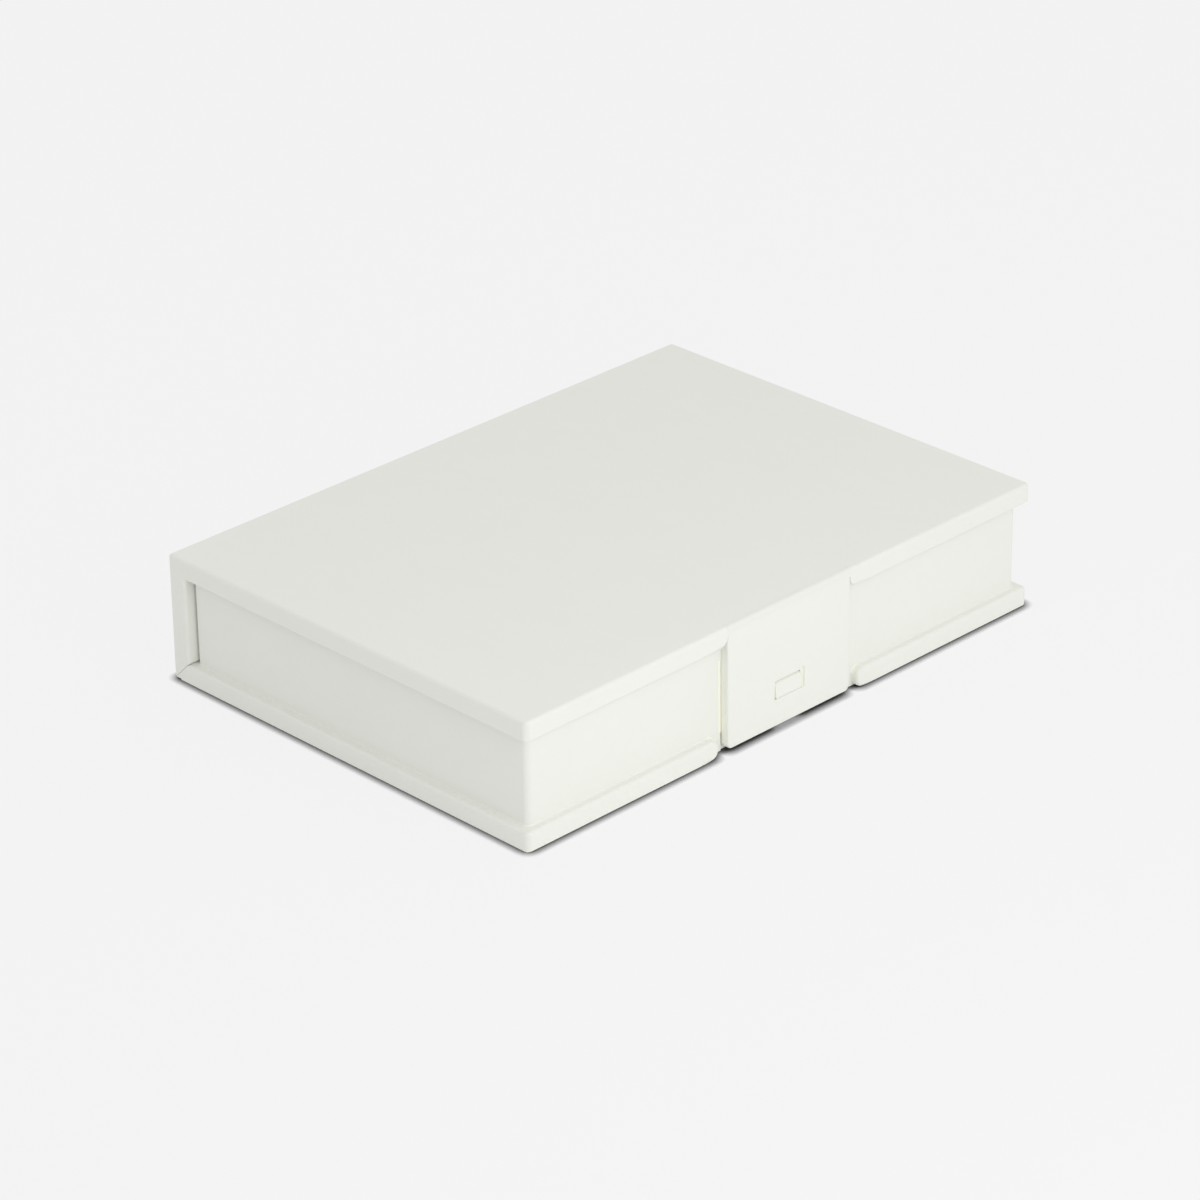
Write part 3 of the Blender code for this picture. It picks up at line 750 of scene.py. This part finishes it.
@dataclass(frozen=True)
class BaseTray:
    """The tray: floor, low rim, walls set back from it, alcove with its catch, and drive ribs."""

    case: CaseSizes
    finish: MouldedPlastic
    wall_end: float = 86.5 * MM
    wall_front: float = -61.45 * MM
    wall_back: float = 57.45 * MM
    wall: float = 2.0 * MM
    wall_top: float = 31.6 * MM
    wall_round: float = 1.8 * MM
    wall_back_round: float = 1.2 * MM
    inside_round: float = 1.1 * MM
    ledge_fillet: float = 0.45 * MM
    alcove_foot_room: float = 0.7 * MM
    alcove_head_room: float = 4.5 * MM
    alcove_wall: float = 1.6 * MM
    alcove_half: float = 21.70 * MM
    reveal_half: float = 22.6 * MM
    reveal_depth: float = 0.08 * MM
    reveal_round: float = 0.07 * MM
    alcove_step: float = 25.1 * MM
    notch_half: float = 24.7 * MM
    notch_back: float = -60.95 * MM
    notch_back_half: float = 21.9 * MM
    catch_half: float = 4.46 * MM
    catch_sill: float = 8.33 * MM
    catch_nose: float = 4.0 * MM
    catch_front: float = -63.60 * MM
    catch_slope: float = 0.45 * MM
    catch_rise: float = 2.2 * MM
    rib: float = 1.6 * MM
    rib_top: float = 28.6 * MM
    rib_lead: float = 4.0 * MM
    rib_slope: float = 1.5 * MM
    drive_half_length: float = 74.1 * MM
    drive_half_width: float = 51.4 * MM
    drive_centre: float = -2.8 * MM
    pin_radius: float = 3.0 * MM
    pin_depth: float = 0.12 * MM

    def _ribs(self) -> Shape:
        """The ribs that keep the drive from sliding, three at each end and four a side."""
        ribs = Shape()
        half = self.rib / 2
        inside_end = self.wall_end - self.wall
        for out in (-1, 1):
            outline = self._rib_outline(out * inside_end, out * self.drive_half_length, out)
            for y in (-34 * MM, 0, 34 * MM):
                middle = self.drive_centre + y
                ribs.prism(outline, Axis.Y, middle - half, middle + half)
            inside = self.wall_back - self.wall if out > 0 else self.wall_front + self.wall
            reach = self.drive_centre + out * self.drive_half_width
            outline = self._rib_outline(inside, reach, out)
            for x in (-62 * MM, -34 * MM, 34 * MM, 62 * MM):
                ribs.prism(outline, Axis.X, x - half, x + half)
        return ribs

    def _rib_outline(self, inside: float, reach: float, out: int) -> Outline:
        """One rib from the side: upright, with a sloped lead-in at its top."""
        root = inside + out * self.wall / 2
        foot = self.case.floor / 2
        return [
            (root, foot),
            (root, self.rib_top),
            (reach + out * self.rib_slope, self.rib_top),
            (reach, self.rib_top - self.rib_lead),
            (reach, foot),
        ]

    def _alcove_back(self, height: float) -> float:
        """The place of the alcove's sloping back at a height, which follows the lifted flap's foot."""
        case = self.case
        share = (height - case.rim) / (self.wall_top - case.rim)
        room = self.alcove_foot_room + (self.alcove_head_room - self.alcove_foot_room) * share
        return case.flap_back + room

    def _alcove(self) -> Shape:
        """The block that carries the alcove's back and sides, inside the front wall."""
        front = self.wall_front + self.wall / 2
        foot = self._alcove_back(self.case.rim) + self.alcove_wall
        head = self._alcove_back(self.wall_top) + self.alcove_wall
        base = self.case.floor / 2
        outline = [
            (front, base), (foot, base), (foot, self.case.rim),
            (head, self.wall_top), (front, self.wall_top),
        ]
        reach = self.alcove_half + self.alcove_wall
        return Shape().prism(outline, Axis.X, -reach, reach)

    def _alcove_room(self, half: float, top: float) -> Shape:
        """The room behind the flap: half its width, and the height that it reaches."""
        front, rim = -self.case.half_width - OVERRUN, self.case.rim
        outline = [
            (front, rim), (self._alcove_back(rim), rim), (self._alcove_back(top), top), (front, top),
        ]
        return Shape().prism(outline, Axis.X, -half, half)

    def _catch(self) -> Shape:
        """The wedge that stands out of the alcove's wall into the flap's slot."""
        nose = self.catch_sill + self.catch_nose
        top = nose + self.catch_rise
        root = self._alcove_back((self.catch_sill + top) / 2) + self.alcove_wall / 2
        outline = [
            (root, self.catch_sill),
            (self.catch_front, self.catch_sill),
            (self.catch_front + self.catch_slope, nose),
            (self._alcove_back(top), top),
            (root, top),
        ]
        return Shape().prism(outline, Axis.X, -self.catch_half, self.catch_half)

    def _pin_marks(self) -> Shape:
        """The shallow round marks that the mould's ejector pins leave in the floor."""
        marks = Shape()
        for x in (-66 * MM, -24 * MM, 24 * MM, 66 * MM):
            for y in (-46 * MM, 40 * MM):
                if abs(x) > self.case.flap_half or y > 0:
                    marks.disc((x, y, self.case.floor), self.pin_radius, 2 * self.pin_depth)
        return marks

    def _rounding(self, edge: EdgeView) -> float:
        """The radius of each kind of edge on the tray."""
        case = self.case
        y, z = edge.middle.y, edge.middle.z
        near_film = y > case.half_width - case.film_leg - TOUCH and z < case.film_leg + TOUCH
        if near_film or edge.sloped():
            return 0.12 * MM if edge.sloped() and not near_film else 0.0
        if case.rim_corner(edge):
            return case.corner_round
        if edge.in_plane(Axis.Z, 0):
            return case.under_round
        outer = (
            edge.in_plane(Axis.X, case.half_length)
            or edge.in_plane(Axis.X, -case.half_length)
            or edge.in_plane(Axis.Y, -case.half_width)
        )
        if outer:
            return case.edge_round
        if edge.runs(Axis.Z) and abs(abs(edge.middle.x) - self.wall_end) < TOUCH and edge.convex:
            return self.wall_round if y < 0 else self.wall_back_round
        inside = abs(abs(edge.middle.x) - self.wall_end + self.wall) < TOUCH
        if edge.runs(Axis.Z) and inside and not edge.convex and self._in_corner(y):
            return self.inside_round
        if abs(edge.middle.x) < self.catch_half + TOUCH and y < self._alcove_back(z) - TOUCH:
            return 0.10 * MM if edge.convex else 0.02 * MM
        on_front = abs(y - self.wall_front) < TOUCH
        if on_front and not edge.convex and z < case.rim - TOUCH:
            return self.ledge_fillet if z > case.rim - case.notch_round else 0.0
        in_reveal = self.wall_front - TOUCH < y < self.wall_front + self.reveal_depth + TOUCH
        if in_reveal and edge.runs(Axis.Z) and abs(edge.middle.x) < self.reveal_half + TOUCH:
            outermost = abs(edge.middle.x) > self.reveal_half - TOUCH
            return self.reveal_round if outermost and edge.convex else 0.02 * MM
        if self.wall_front + TOUCH < y < self._alcove_back(z) - TOUCH:
            return 0.02 * MM
        if abs(z - case.floor) < 2.5 * self.pin_depth and edge.convex:
            return 0.05 * MM
        if abs(z - case.floor) < 2.5 * self.pin_depth and abs(edge.middle.x) < self.wall_end - self.wall:
            on_floor = abs(z - case.floor) < TOUCH
            return 0.5 * MM if on_floor else 0.0
        if abs(z - case.rim) < TOUCH:
            return self.ledge_fillet if not edge.convex else 0.25 * MM
        return 0.25 * MM

    def _in_corner(self, y: float) -> bool:
        """Whether a place across the case lies on the compartment's front or back wall."""
        return min(abs(y - self.wall_front - self.wall), abs(y - self.wall_back + self.wall)) < TOUCH

    def _shelter(self, place: Vector) -> float:
        """How deep a place lies in the gap beside the flap; the finish paints light into these places."""
        beside = self.alcove_half - TOUCH < abs(place.x) < self.reveal_half + TOUCH
        depth = (place.y - self.wall_front) / self.reveal_depth
        return 1.0 if beside and 0.7 < depth < 1.1 else 0.0

    def build(self) -> bpy.types.Object:
        """Builds the tray and dresses it."""
        case = self.case
        slab = Shape().box(
            (-case.half_length, -case.half_width, 0), (case.half_length, case.half_width, case.rim)
        )
        walls = Shape().box(
            (-self.wall_end, self.wall_front, case.floor / 2),
            (self.wall_end, self.wall_back, self.wall_top),
        )
        inner = self.wall_end - self.wall
        space = Shape().box(
            (-inner, self.wall_front + self.wall, case.floor),
            (inner, self.wall_back - self.wall, self.wall_top + OVERRUN),
        )
        reveal = Shape().box(
            (-self.reveal_half, -case.half_width, case.rim),
            (self.reveal_half, self.wall_front + self.reveal_depth, self.alcove_step),
        )
        notch = Shape().prism(
            case.notch(self.notch_half, 0, case.rim, True),
            Axis.Y,
            -case.half_width - OVERRUN,
            self.wall_front,
        )
        notch_back = Shape().box(
            (-self.notch_back_half, -case.half_width - OVERRUN, -OVERRUN),
            (self.notch_back_half, self.notch_back, case.rim),
        )
        past = case.half_length + OVERRUN
        mitre = Shape().prism(case.mitre(case.spine_hinge, 1, -1, case.rim), Axis.X, -past, past)
        rebate = Shape().prism(case.rebate((case.half_width, 0), (-1, 1)), Axis.X, -past, past)
        moulding = Moulding("tray_shell", slab)
        moulding.join(walls).cut(space).join(self._alcove())
        moulding.cut(self._alcove_room(self.alcove_half, self.wall_top + OVERRUN))
        moulding.cut(reveal).cut(notch).cut(notch_back)
        moulding.join(self._catch()).join(self._ribs()).cut(mitre).cut(rebate)
        piece = moulding.finish(self._rounding, self._shelter)
        return dress(piece, self.finish, "base_tray", Body.TRAY)


@dataclass(frozen=True)
class HingedLid:
    """The lid with its skirt, and the spine that stands square to it along the back."""

    case: CaseSizes
    finish: MouldedPlastic
    skirt: float = 1.6 * MM
    spine_plate: float = 2.0 * MM
    spine_end: float = 6.5 * MM
    spine_foot: float = 2.0 * MM
    spine_rib: float = 1.4 * MM
    spine_ribs: int = 3
    flap_gap: float = 0.03 * MM
    notch_edge: float = 0.04 * MM

    def _core(self) -> Shape:
        """The spine's hollow: bays between its end rims and its ribs."""
        case = self.case
        back = case.half_width - self.spine_plate
        front = case.spine_inner - OVERRUN
        slope = sum(case.spine_hinge)
        foot = (case.mitre_gap / 2 + self.spine_foot) * math.sqrt(2)
        outline = [
            (front, slope - front + foot),
            (back, slope - back + foot),
            (back, case.plate_underside),
            (front, case.plate_underside),
        ]
        inner = case.half_length - self.spine_end
        bays = self.spine_ribs + 1
        bay = (2 * inner - self.spine_ribs * self.spine_rib) / bays
        core = Shape()
        for number in range(bays):
            start = -inner + number * (bay + self.spine_rib)
            core.prism(outline, Axis.X, start, start + bay)
        return core

    def _rounding(self, edge: EdgeView) -> float:
        """The radius of each kind of edge on the lid."""
        case = self.case
        x, y, z = edge.middle
        spine_film = y > case.half_width - case.film_leg - TOUCH and z < case.film_leg + TOUCH
        in_notch = abs(x) < case.flap_half + self.flap_gap + TOUCH
        latch_film = in_notch and y < -case.half_width + 2 * case.film_leg
        if spine_film:
            return 0.0
        if edge.sloped():
            return 0.0 if latch_film else 0.12 * MM
        if latch_film and z > case.plate_underside - TOUCH:
            return 0.0
        if case.rim_corner(edge):
            return case.corner_round
        if latch_film:
            return self.notch_edge
        if edge.in_plane(Axis.Z, 0) or edge.in_plane(Axis.Z, case.skirt_bottom):
            return case.under_round * (1 - self._flare_share(edge.middle)) + 0.01 * MM
        flare = self._flare_share(edge.middle)
        outer = (
            edge.in_plane(Axis.X, case.half_length)
            or edge.in_plane(Axis.X, -case.half_length)
            or edge.in_plane(Axis.Y, -case.half_width)
            or edge.in_plane(Axis.Y, case.half_width)
            or edge.in_plane(Axis.Z, case.height)
        )
        return self.notch_edge * flare + (case.edge_round if outer else 0.25 * MM) * (1 - flare)

    def _flare_share(self, place: Vector) -> float:
        """How far a place lies round the notch's rounded corner, from 0 below to 1 at its side."""
        case = self.case
        centre = (case.flap_half + self.flap_gap + case.notch_round, case.skirt_bottom + case.notch_round)
        across, down = centre[0] - abs(place.x), centre[1] - place.z
        in_flare = 0 < across < case.notch_round and 0 < down and place.y < -case.half_width + 2 * self.skirt
        return math.atan2(across, down) / (math.pi / 2) if in_flare else 0.0

    def build(self) -> bpy.types.Object:
        """Builds the lid and dresses it."""
        case = self.case
        band = [
            (-case.half_width, case.height),
            (-case.half_width, case.skirt_bottom),
            (case.spine_inner, case.skirt_bottom),
            (case.spine_inner, 0),
            (case.half_width, 0),
            (case.half_width, case.height),
        ]
        ell = Shape().prism(band, Axis.X, -case.half_length, case.half_length)
        hollow = Shape().box(
            (-case.half_length + self.skirt, -case.half_width + self.skirt, case.skirt_bottom),
            (case.half_length - self.skirt, case.spine_inner, case.plate_underside),
        )
        half = case.flap_half + self.flap_gap
        notch = Shape().prism(
            case.notch(half, case.skirt_bottom, case.plate_underside, False),
            Axis.Y,
            -case.half_width - OVERRUN,
            -case.half_width + self.skirt + OVERRUN,
        )
        past = case.half_length + OVERRUN
        spine_reach = case.spine_depth + case.rim
        latch_reach = case.flap_thickness + case.plate
        moulding = Moulding("lid_shell", ell)
        moulding.cut(hollow).cut(self._core()).cut(notch)
        moulding.cut(
            Shape().prism(case.mitre(case.spine_hinge, -1, -1, spine_reach), Axis.X, -past, past)
        )
        moulding.cut(
            Shape().prism(case.rebate((case.half_width, 0), (-1, 1)), Axis.X, -past, past)
        )
        moulding.cut(
            Shape().prism(case.mitre(case.latch_hinge, -1, -1, latch_reach), Axis.X, -half, half)
        )
        corner = (-case.half_width, case.height)
        moulding.cut(Shape().prism(case.rebate(corner, (1, -1)), Axis.X, -half, half))
        piece = moulding.finish(self._rounding, lambda place: 0.0)
        return dress(piece, self.finish, "lid_and_spine", Body.LID)


@dataclass(frozen=True)
class LatchFlap:
    """The flap that hangs from the lid, with its slot and the channel that lets the catch in."""

    case: CaseSizes
    finish: MouldedPlastic
    ground_gap: float = 1.0 * MM
    corner_round: float = 1.5 * MM
    front_round: float = 0.4 * MM
    slot_half: float = 5.4 * MM
    slot_sill: float = 8.3 * MM
    slot_height: float = 5.6 * MM
    slot_frame: float = 0.9 * MM
    slot_frame_depth: float = 0.6 * MM
    channel_half: float = 4.9 * MM
    channel_skin: float = 0.85 * MM

    def _rounding(self, edge: EdgeView) -> float:
        """The radius of each kind of edge on the flap."""
        case = self.case
        if edge.sloped() or edge.middle.z > case.height - case.film_leg - TOUCH:
            return 0.0
        if edge.in_plane(Axis.Y, -case.half_width):
            inside_slot = abs(edge.middle.x) < self.slot_half + TOUCH and edge.middle.z > 4 * MM
            return 0.08 * MM if inside_slot else self.front_round
        return 0.06 * MM

    def _shelter(self, place: Vector) -> float:
        """How deep a place lies in the slot or beside the flap, towards the tray's wall; the finish paints
        light into these places.
        """
        depth = (place.y + self.case.half_width) / self.case.flap_thickness
        at_side = abs(place.x) > self.case.flap_half - TOUCH
        in_slot = abs(place.x) < self.slot_half + TOUCH and place.z > self.slot_sill - TOUCH
        inside = place.z < self.case.skirt_bottom and place.y < self.case.flap_back - TOUCH
        return max(0.0, min(1.0, depth)) if inside and (at_side or in_slot) else 0.0

    def build(self) -> bpy.types.Object:
        """Builds the flap and dresses it."""
        case = self.case
        low = self.ground_gap
        side = case.flap_half - self.corner_round
        right = arc((side, low + self.corner_round), self.corner_round, 270, 360)
        right += [(case.flap_half, case.height)]
        plate = Shape().prism(mirrored(right), Axis.Y, -case.half_width, case.flap_back)
        slot_head = self.slot_sill + self.slot_height
        frame = Shape().box(
            (-self.slot_half, -case.half_width - OVERRUN, self.slot_sill),
            (self.slot_half, -case.half_width + self.slot_frame_depth, slot_head),
        )
        through = self.slot_half - self.slot_frame
        slot = Shape().box(
            (-through, -case.half_width - OVERRUN, self.slot_sill),
            (through, case.flap_back + OVERRUN, slot_head - self.slot_frame),
        )
        channel = Shape().box(
            (-self.channel_half, -case.half_width + self.channel_skin, low - OVERRUN),
            (self.channel_half, case.flap_back + OVERRUN, self.slot_sill + self.slot_height / 2),
        )
        past = case.flap_half + OVERRUN
        reach = case.flap_thickness + case.plate
        moulding = Moulding("flap_plate", plate)
        moulding.cut(frame).cut(slot).cut(channel)
        moulding.cut(Shape().prism(case.mitre(case.latch_hinge, 1, -1, reach), Axis.X, -past, past))
        corner = (-case.half_width, case.height)
        moulding.cut(Shape().prism(case.rebate(corner, (1, -1)), Axis.X, -past, past))
        piece = moulding.finish(self._rounding, self._shelter, 4)
        return dress(piece, self.finish, "latch_flap", Body.LATCH)


@dataclass(frozen=True)
class LivingHinge:
    """A thin skin, bent over an outer corner, between two bodies."""

    case: CaseSizes
    finish: FlexedPlastic
    name: str
    replaced: str
    corner: Point2
    toward: tuple[int, int]
    half_length: float
    bodies: tuple[Body, Body]

    def _outline(self) -> Outline:
        """The bent skin's section, in Y and Z."""
        case = self.case
        middle = (case.film_round, case.film_round)
        outside = arc(middle, case.film_round, 270, 180, 14)
        inside = arc(middle, case.film_round - case.film, 180, 270, 14)
        shape = [(case.film_leg, 0)] + outside + [(0, case.film_leg)]
        shape += [(case.film, case.film_leg)] + inside + [(case.film_leg, case.film)]
        place, toward = self.corner, self.toward
        return [(place[0] + toward[0] * a, place[1] + toward[1] * b) for a, b in shape]

    def build(self) -> bpy.types.Object:
        """Builds the skin and dresses it."""
        case = self.case
        section = self._outline()
        skin = Shape().prism(section, Axis.X, -self.half_length, self.half_length)
        piece = skin.to_object(self.name)
        middle = Vector((0, *(self.corner[i] + self.toward[i] * case.film_round for i in (0, 1))))
        note = piece.data.attributes.new("bend", "FLOAT", "POINT")
        reach = case.film_leg - case.film_round
        values = []
        for vertex in piece.data.vertices:
            off = (vertex.co - middle) * 1
            legs = [off.y * self.toward[0], off.z * self.toward[1]]
            values.append(max(0.0, 1 - max(0.0, max(legs)) / reach))
        note.data.foreach_set("value", values)
        shade_by_area(piece)
        dress(piece, self.finish, self.replaced)
        one = (0, self.corner[0] + self.toward[0] * case.film_round, self.corner[1])
        two = (0, self.corner[0], self.corner[1] + self.toward[1] * case.film_round)
        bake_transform(piece)
        return piece


@dataclass(frozen=True)
class FoamPad:
    """A die-cut foam pad: crowned, with drawn-down edges and rounded corners."""

    case: CaseSizes
    finish: CellFoam
    name: str
    replaced: str
    body: Body
    facing: int
    corner: float = 2.0 * MM
    spacing: float = 2.0 * MM
    crown: float = 0.12 * MM
    unevenness: float = 0.05 * MM
    seat_gap: float = 0.02 * MM
    insets: tuple[float, ...] = (0.0, 0.03, 0.10, 0.22, 0.40, 0.8, 1.6, 3.0, 5.0, 7.5, 10.0)
    drops: tuple[float, ...] = (0.42, 0.26, 0.13, 0.05, 0.01, 0, 0, 0, 0, 0, 0)

    def _ring(self, half_x: float, half_y: float, inset: float) -> Outline:
        """One closed ring of the pad's outline, drawn in by some distance."""
        radius = max(self.corner - inset, 0.05 * MM)
        x, y = half_x - max(inset, self.corner), half_y - max(inset, self.corner)
        if inset > self.corner:
            x, y = half_x - inset - radius, half_y - inset - radius
        ring: Outline = []
        corners = ((x, y, 0), (-x, y, 90), (-x, -y, 180), (x, -y, 270))
        for number, (a, b, start) in enumerate(corners):
            ring += arc((a, b), radius, start, start + 90, 6)
            after = corners[(number + 1) % 4]
            first = ring[-1]
            last = arc(after[:2], radius, after[2], after[2] + 90, 1)[0]
            span = (half_y if number % 2 else half_x) * 2
            count = max(2, round(span / self.spacing))
            for step in range(1, count):
                share = step / count
                ring.append(
                    (
                        first[0] + (last[0] - first[0]) * share,
                        first[1] + (last[1] - first[1]) * share,
                    )
                )
        return ring

    def build(self) -> bpy.types.Object:
        low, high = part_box(self.replaced)
        middle, half = (low + high) / 2, (high - low) / 2
        builder = bmesh.new()
        seat = low.z - 0.28 * MM if self.facing > 0 else high.z + 0.28 * MM
        face = high.z if self.facing > 0 else low.z
        rings = []
        base = [
            builder.verts.new((middle.x + a, middle.y + b, seat))
            for a, b in self._ring(half.x, half.y, 0)
        ]
        rings.append(base)
        for inset, drop in zip(self.insets, self.drops):
            ring = []
            for a, b in self._ring(half.x, half.y, inset * MM):
                rise = self.crown * (1 - min(1.0, inset / 6.0)) ** 2
                bump = self.unevenness * noise.noise(Vector((a, b, self.facing)) * 160)
                depth = drop * MM + rise + abs(bump)
                place = Vector((middle.x + a, middle.y + b, face - self.facing * depth))
                ring.append(builder.verts.new(place))
            rings.append(ring)
        for one, two in zip(rings, rings[1:]):
            for number in range(len(one)):
                after = (number + 1) % len(one)
                builder.faces.new((one[number], one[after], two[after], two[number]))
        builder.faces.new(rings[-1])
        builder.faces.new(rings[0])
        bmesh.ops.recalc_face_normals(builder, faces=builder.faces[:])
        piece = object_from(builder, self.name)
        piece.data.shade_smooth()
        piece.data.set_sharp_from_angle(angle=math.radians(60))
        dress(piece, self.finish, self.replaced, self.body)
        return piece


@dataclass(frozen=True)
class Studio:
    """The camera, a pale floor, a soft sky all round and one weak lamp in front."""

    eye: Sequence[float] = (-0.74416, -0.75830, 0.55183)
    azimuth: float = 44.385
    look_down: float = 26.957
    roll: float = -0.829
    lens: float = 141.437
    backdrop: Colour = (0.896, 0.896, 0.896)
    sky: float = 0.785
    sky_tilt: float = 0.09
    key_watts: float = 0.57
    key_distance: float = 0.55
    key_azimuth: float = -14.0
    key_height: float = 28.0
    key_size: float = 0.35
    paper: Colour = (0.95, 0.95, 0.95)
    seen_paper: Colour = (0.12, 0.12, 0.12)
    seen_glow: float = 0.794
    contact_reach: float = 2.5 * MM
    contact_fall: float = 2.6
    floor_half: float = 4.0

    def camera(self) -> None:
        """Places the camera where the photograph was taken from."""
        data = bpy.data.cameras.new("camera")
        data.sensor_fit, data.sensor_width, data.lens = "HORIZONTAL", 36.0, self.lens
        data.clip_start, data.clip_end = 0.01, 50.0
        camera = bpy.data.objects.new("camera", data)
        turn, tilt, roll = (math.radians(a) for a in (self.azimuth, self.look_down, self.roll))
        ahead = Vector((math.sin(turn) * math.cos(tilt), math.cos(turn) * math.cos(tilt), -math.sin(tilt)))
        level = Vector((math.cos(turn), -math.sin(turn), 0))
        upward = level.cross(ahead)
        right = level * math.cos(roll) + upward * math.sin(roll)
        upward = right.cross(ahead)
        axes = Matrix((right, upward, -ahead)).transposed()
        camera.matrix_world = Matrix.Translation(self.eye) @ axes.to_4x4()
        bpy.context.scene.collection.objects.link(camera)
        bpy.context.scene.camera = camera

    def key_lamp(self) -> None:
        """Hangs a square soft lamp high at the front left, looking at the case."""
        turn, tilt = math.radians(self.key_azimuth), math.radians(self.key_height)
        way = Vector((math.sin(turn) * math.cos(tilt), -math.cos(turn) * math.cos(tilt), math.sin(tilt)))
        data = bpy.data.lights.new("key_lamp", "AREA")
        data.energy, data.shape, data.size = self.key_watts, "SQUARE", self.key_size
        lamp = bpy.data.objects.new("key_lamp", data)
        lamp.location = way * self.key_distance
        lamp.rotation_euler = (-way).to_track_quat("-Z", "Y").to_euler()
        bpy.context.scene.collection.objects.link(lamp)

    def sky_light(self) -> None:
        """A sky that lights softly, a little less from the left, and is seen as a pale backdrop."""
        c = Canvas(bpy.data.worlds.new("sky"))
        way = c.node("TexCoord", {}, {}, "Generated")
        rightward = c.node("SeparateXYZ", {}, {"Vector": way}, "X")
        dim, bright = (
            c.node("Background", {}, {"Color": (level, level, level, 1)})
            for level in (self.sky - self.sky_tilt, self.sky + self.sky_tilt)
        )
        light = c.node("MixShader", {}, {0: 0.5 + 0.5 * rightward, 1: dim, 2: bright})
        shown = c.node("Background", {}, {"Color": (*self.backdrop, 1)})
        seen = c.seen_rays() + c.node("LightPath", {}, {}, "Is Transmission Ray")
        choice = c.node("MixShader", {}, {0: seen.clamped(), 1: light, 2: shown})
        bpy.context.scene.world = c.finished(choice)

    def floor(self) -> None:
        """A wide pale floor that keeps the case's shadow, with a dark contact line painted in from ambient
        occlusion where the camera sees it.
        """
        half = self.floor_half
        builder = bmesh.new()
        bmesh.ops.create_grid(builder, x_segments=1, y_segments=1, size=half)
        floor = object_from(builder, "floor")
        c = Canvas.material("floor_paper")
        reach = {"Distance": self.contact_reach}
        open_sky = c.node("AmbientOcclusion", {"samples": 8}, reach, "AO")
        paper = c.node("BsdfDiffuse", {}, {"Color": (*self.paper, 1)})
        shade = c.node("BsdfDiffuse", {}, {"Color": (0, 0, 0, 1)})
        grey = c.node("BsdfDiffuse", {}, {"Color": (*self.seen_paper, 1)})
        glow = c.node("Emission", {}, {"Strength": self.seen_glow})
        lit = c.node("AddShader", {}, {0: grey, 1: glow})
        # Painted shadow: the camera sees the floor mixed to black where ambient occlusion finds the case
        # close by.
        seen = c.node("MixShader", {}, {0: open_sky**self.contact_fall, 1: shade, 2: lit})
        choice = c.node("MixShader", {}, {0: c.seen_rays(), 1: paper, 2: seen})
        floor.data.materials.append(c.finished(choice))

    def build(self) -> None:
        """Sets up the whole studio."""
        self.camera()
        self.key_lamp()
        self.sky_light()
        self.floor()
        bpy.context.scene.view_settings.view_transform = "Standard"


def main() -> None:
    """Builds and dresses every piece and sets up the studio."""
    logging.basicConfig(level=logging.INFO, format="%(message)s")
    case = CaseSizes()
    BaseTray(case, MouldedPlastic("tray_ivory", "tray_plastic")).build()
    HingedLid(case, MouldedPlastic("lid_ivory", "lid_plastic")).build()
    LatchFlap(case, MouldedPlastic("flap_ivory", "flap_plastic")).build()
    skin = FlexedPlastic("hinge_ivory", "film_plastic")
    LivingHinge(
        case, skin, "spine_hinge_skin", "spine_hinge_film",
        (case.half_width, 0), (-1, 1), case.half_length - case.film, (Body.TRAY, Body.LID),
    ).build()
    LivingHinge(
        case, skin, "latch_hinge_skin", "latch_hinge_film",
        (-case.half_width, case.height), (1, -1), case.flap_half, (Body.LID, Body.LATCH),
    ).build()
    foam = CellFoam("pad_foam", "foam")
    for word in ("left", "right"):
        FoamPad(case, foam, f"floor_foam_{word}", f"floor_pad_{word}", Body.TRAY, 1).build()
        FoamPad(case, foam, f"lid_foam_{word}", f"lid_pad_{word}", Body.LID, -1).build()
    Studio().build()


if __name__ == "__main__":
    main()
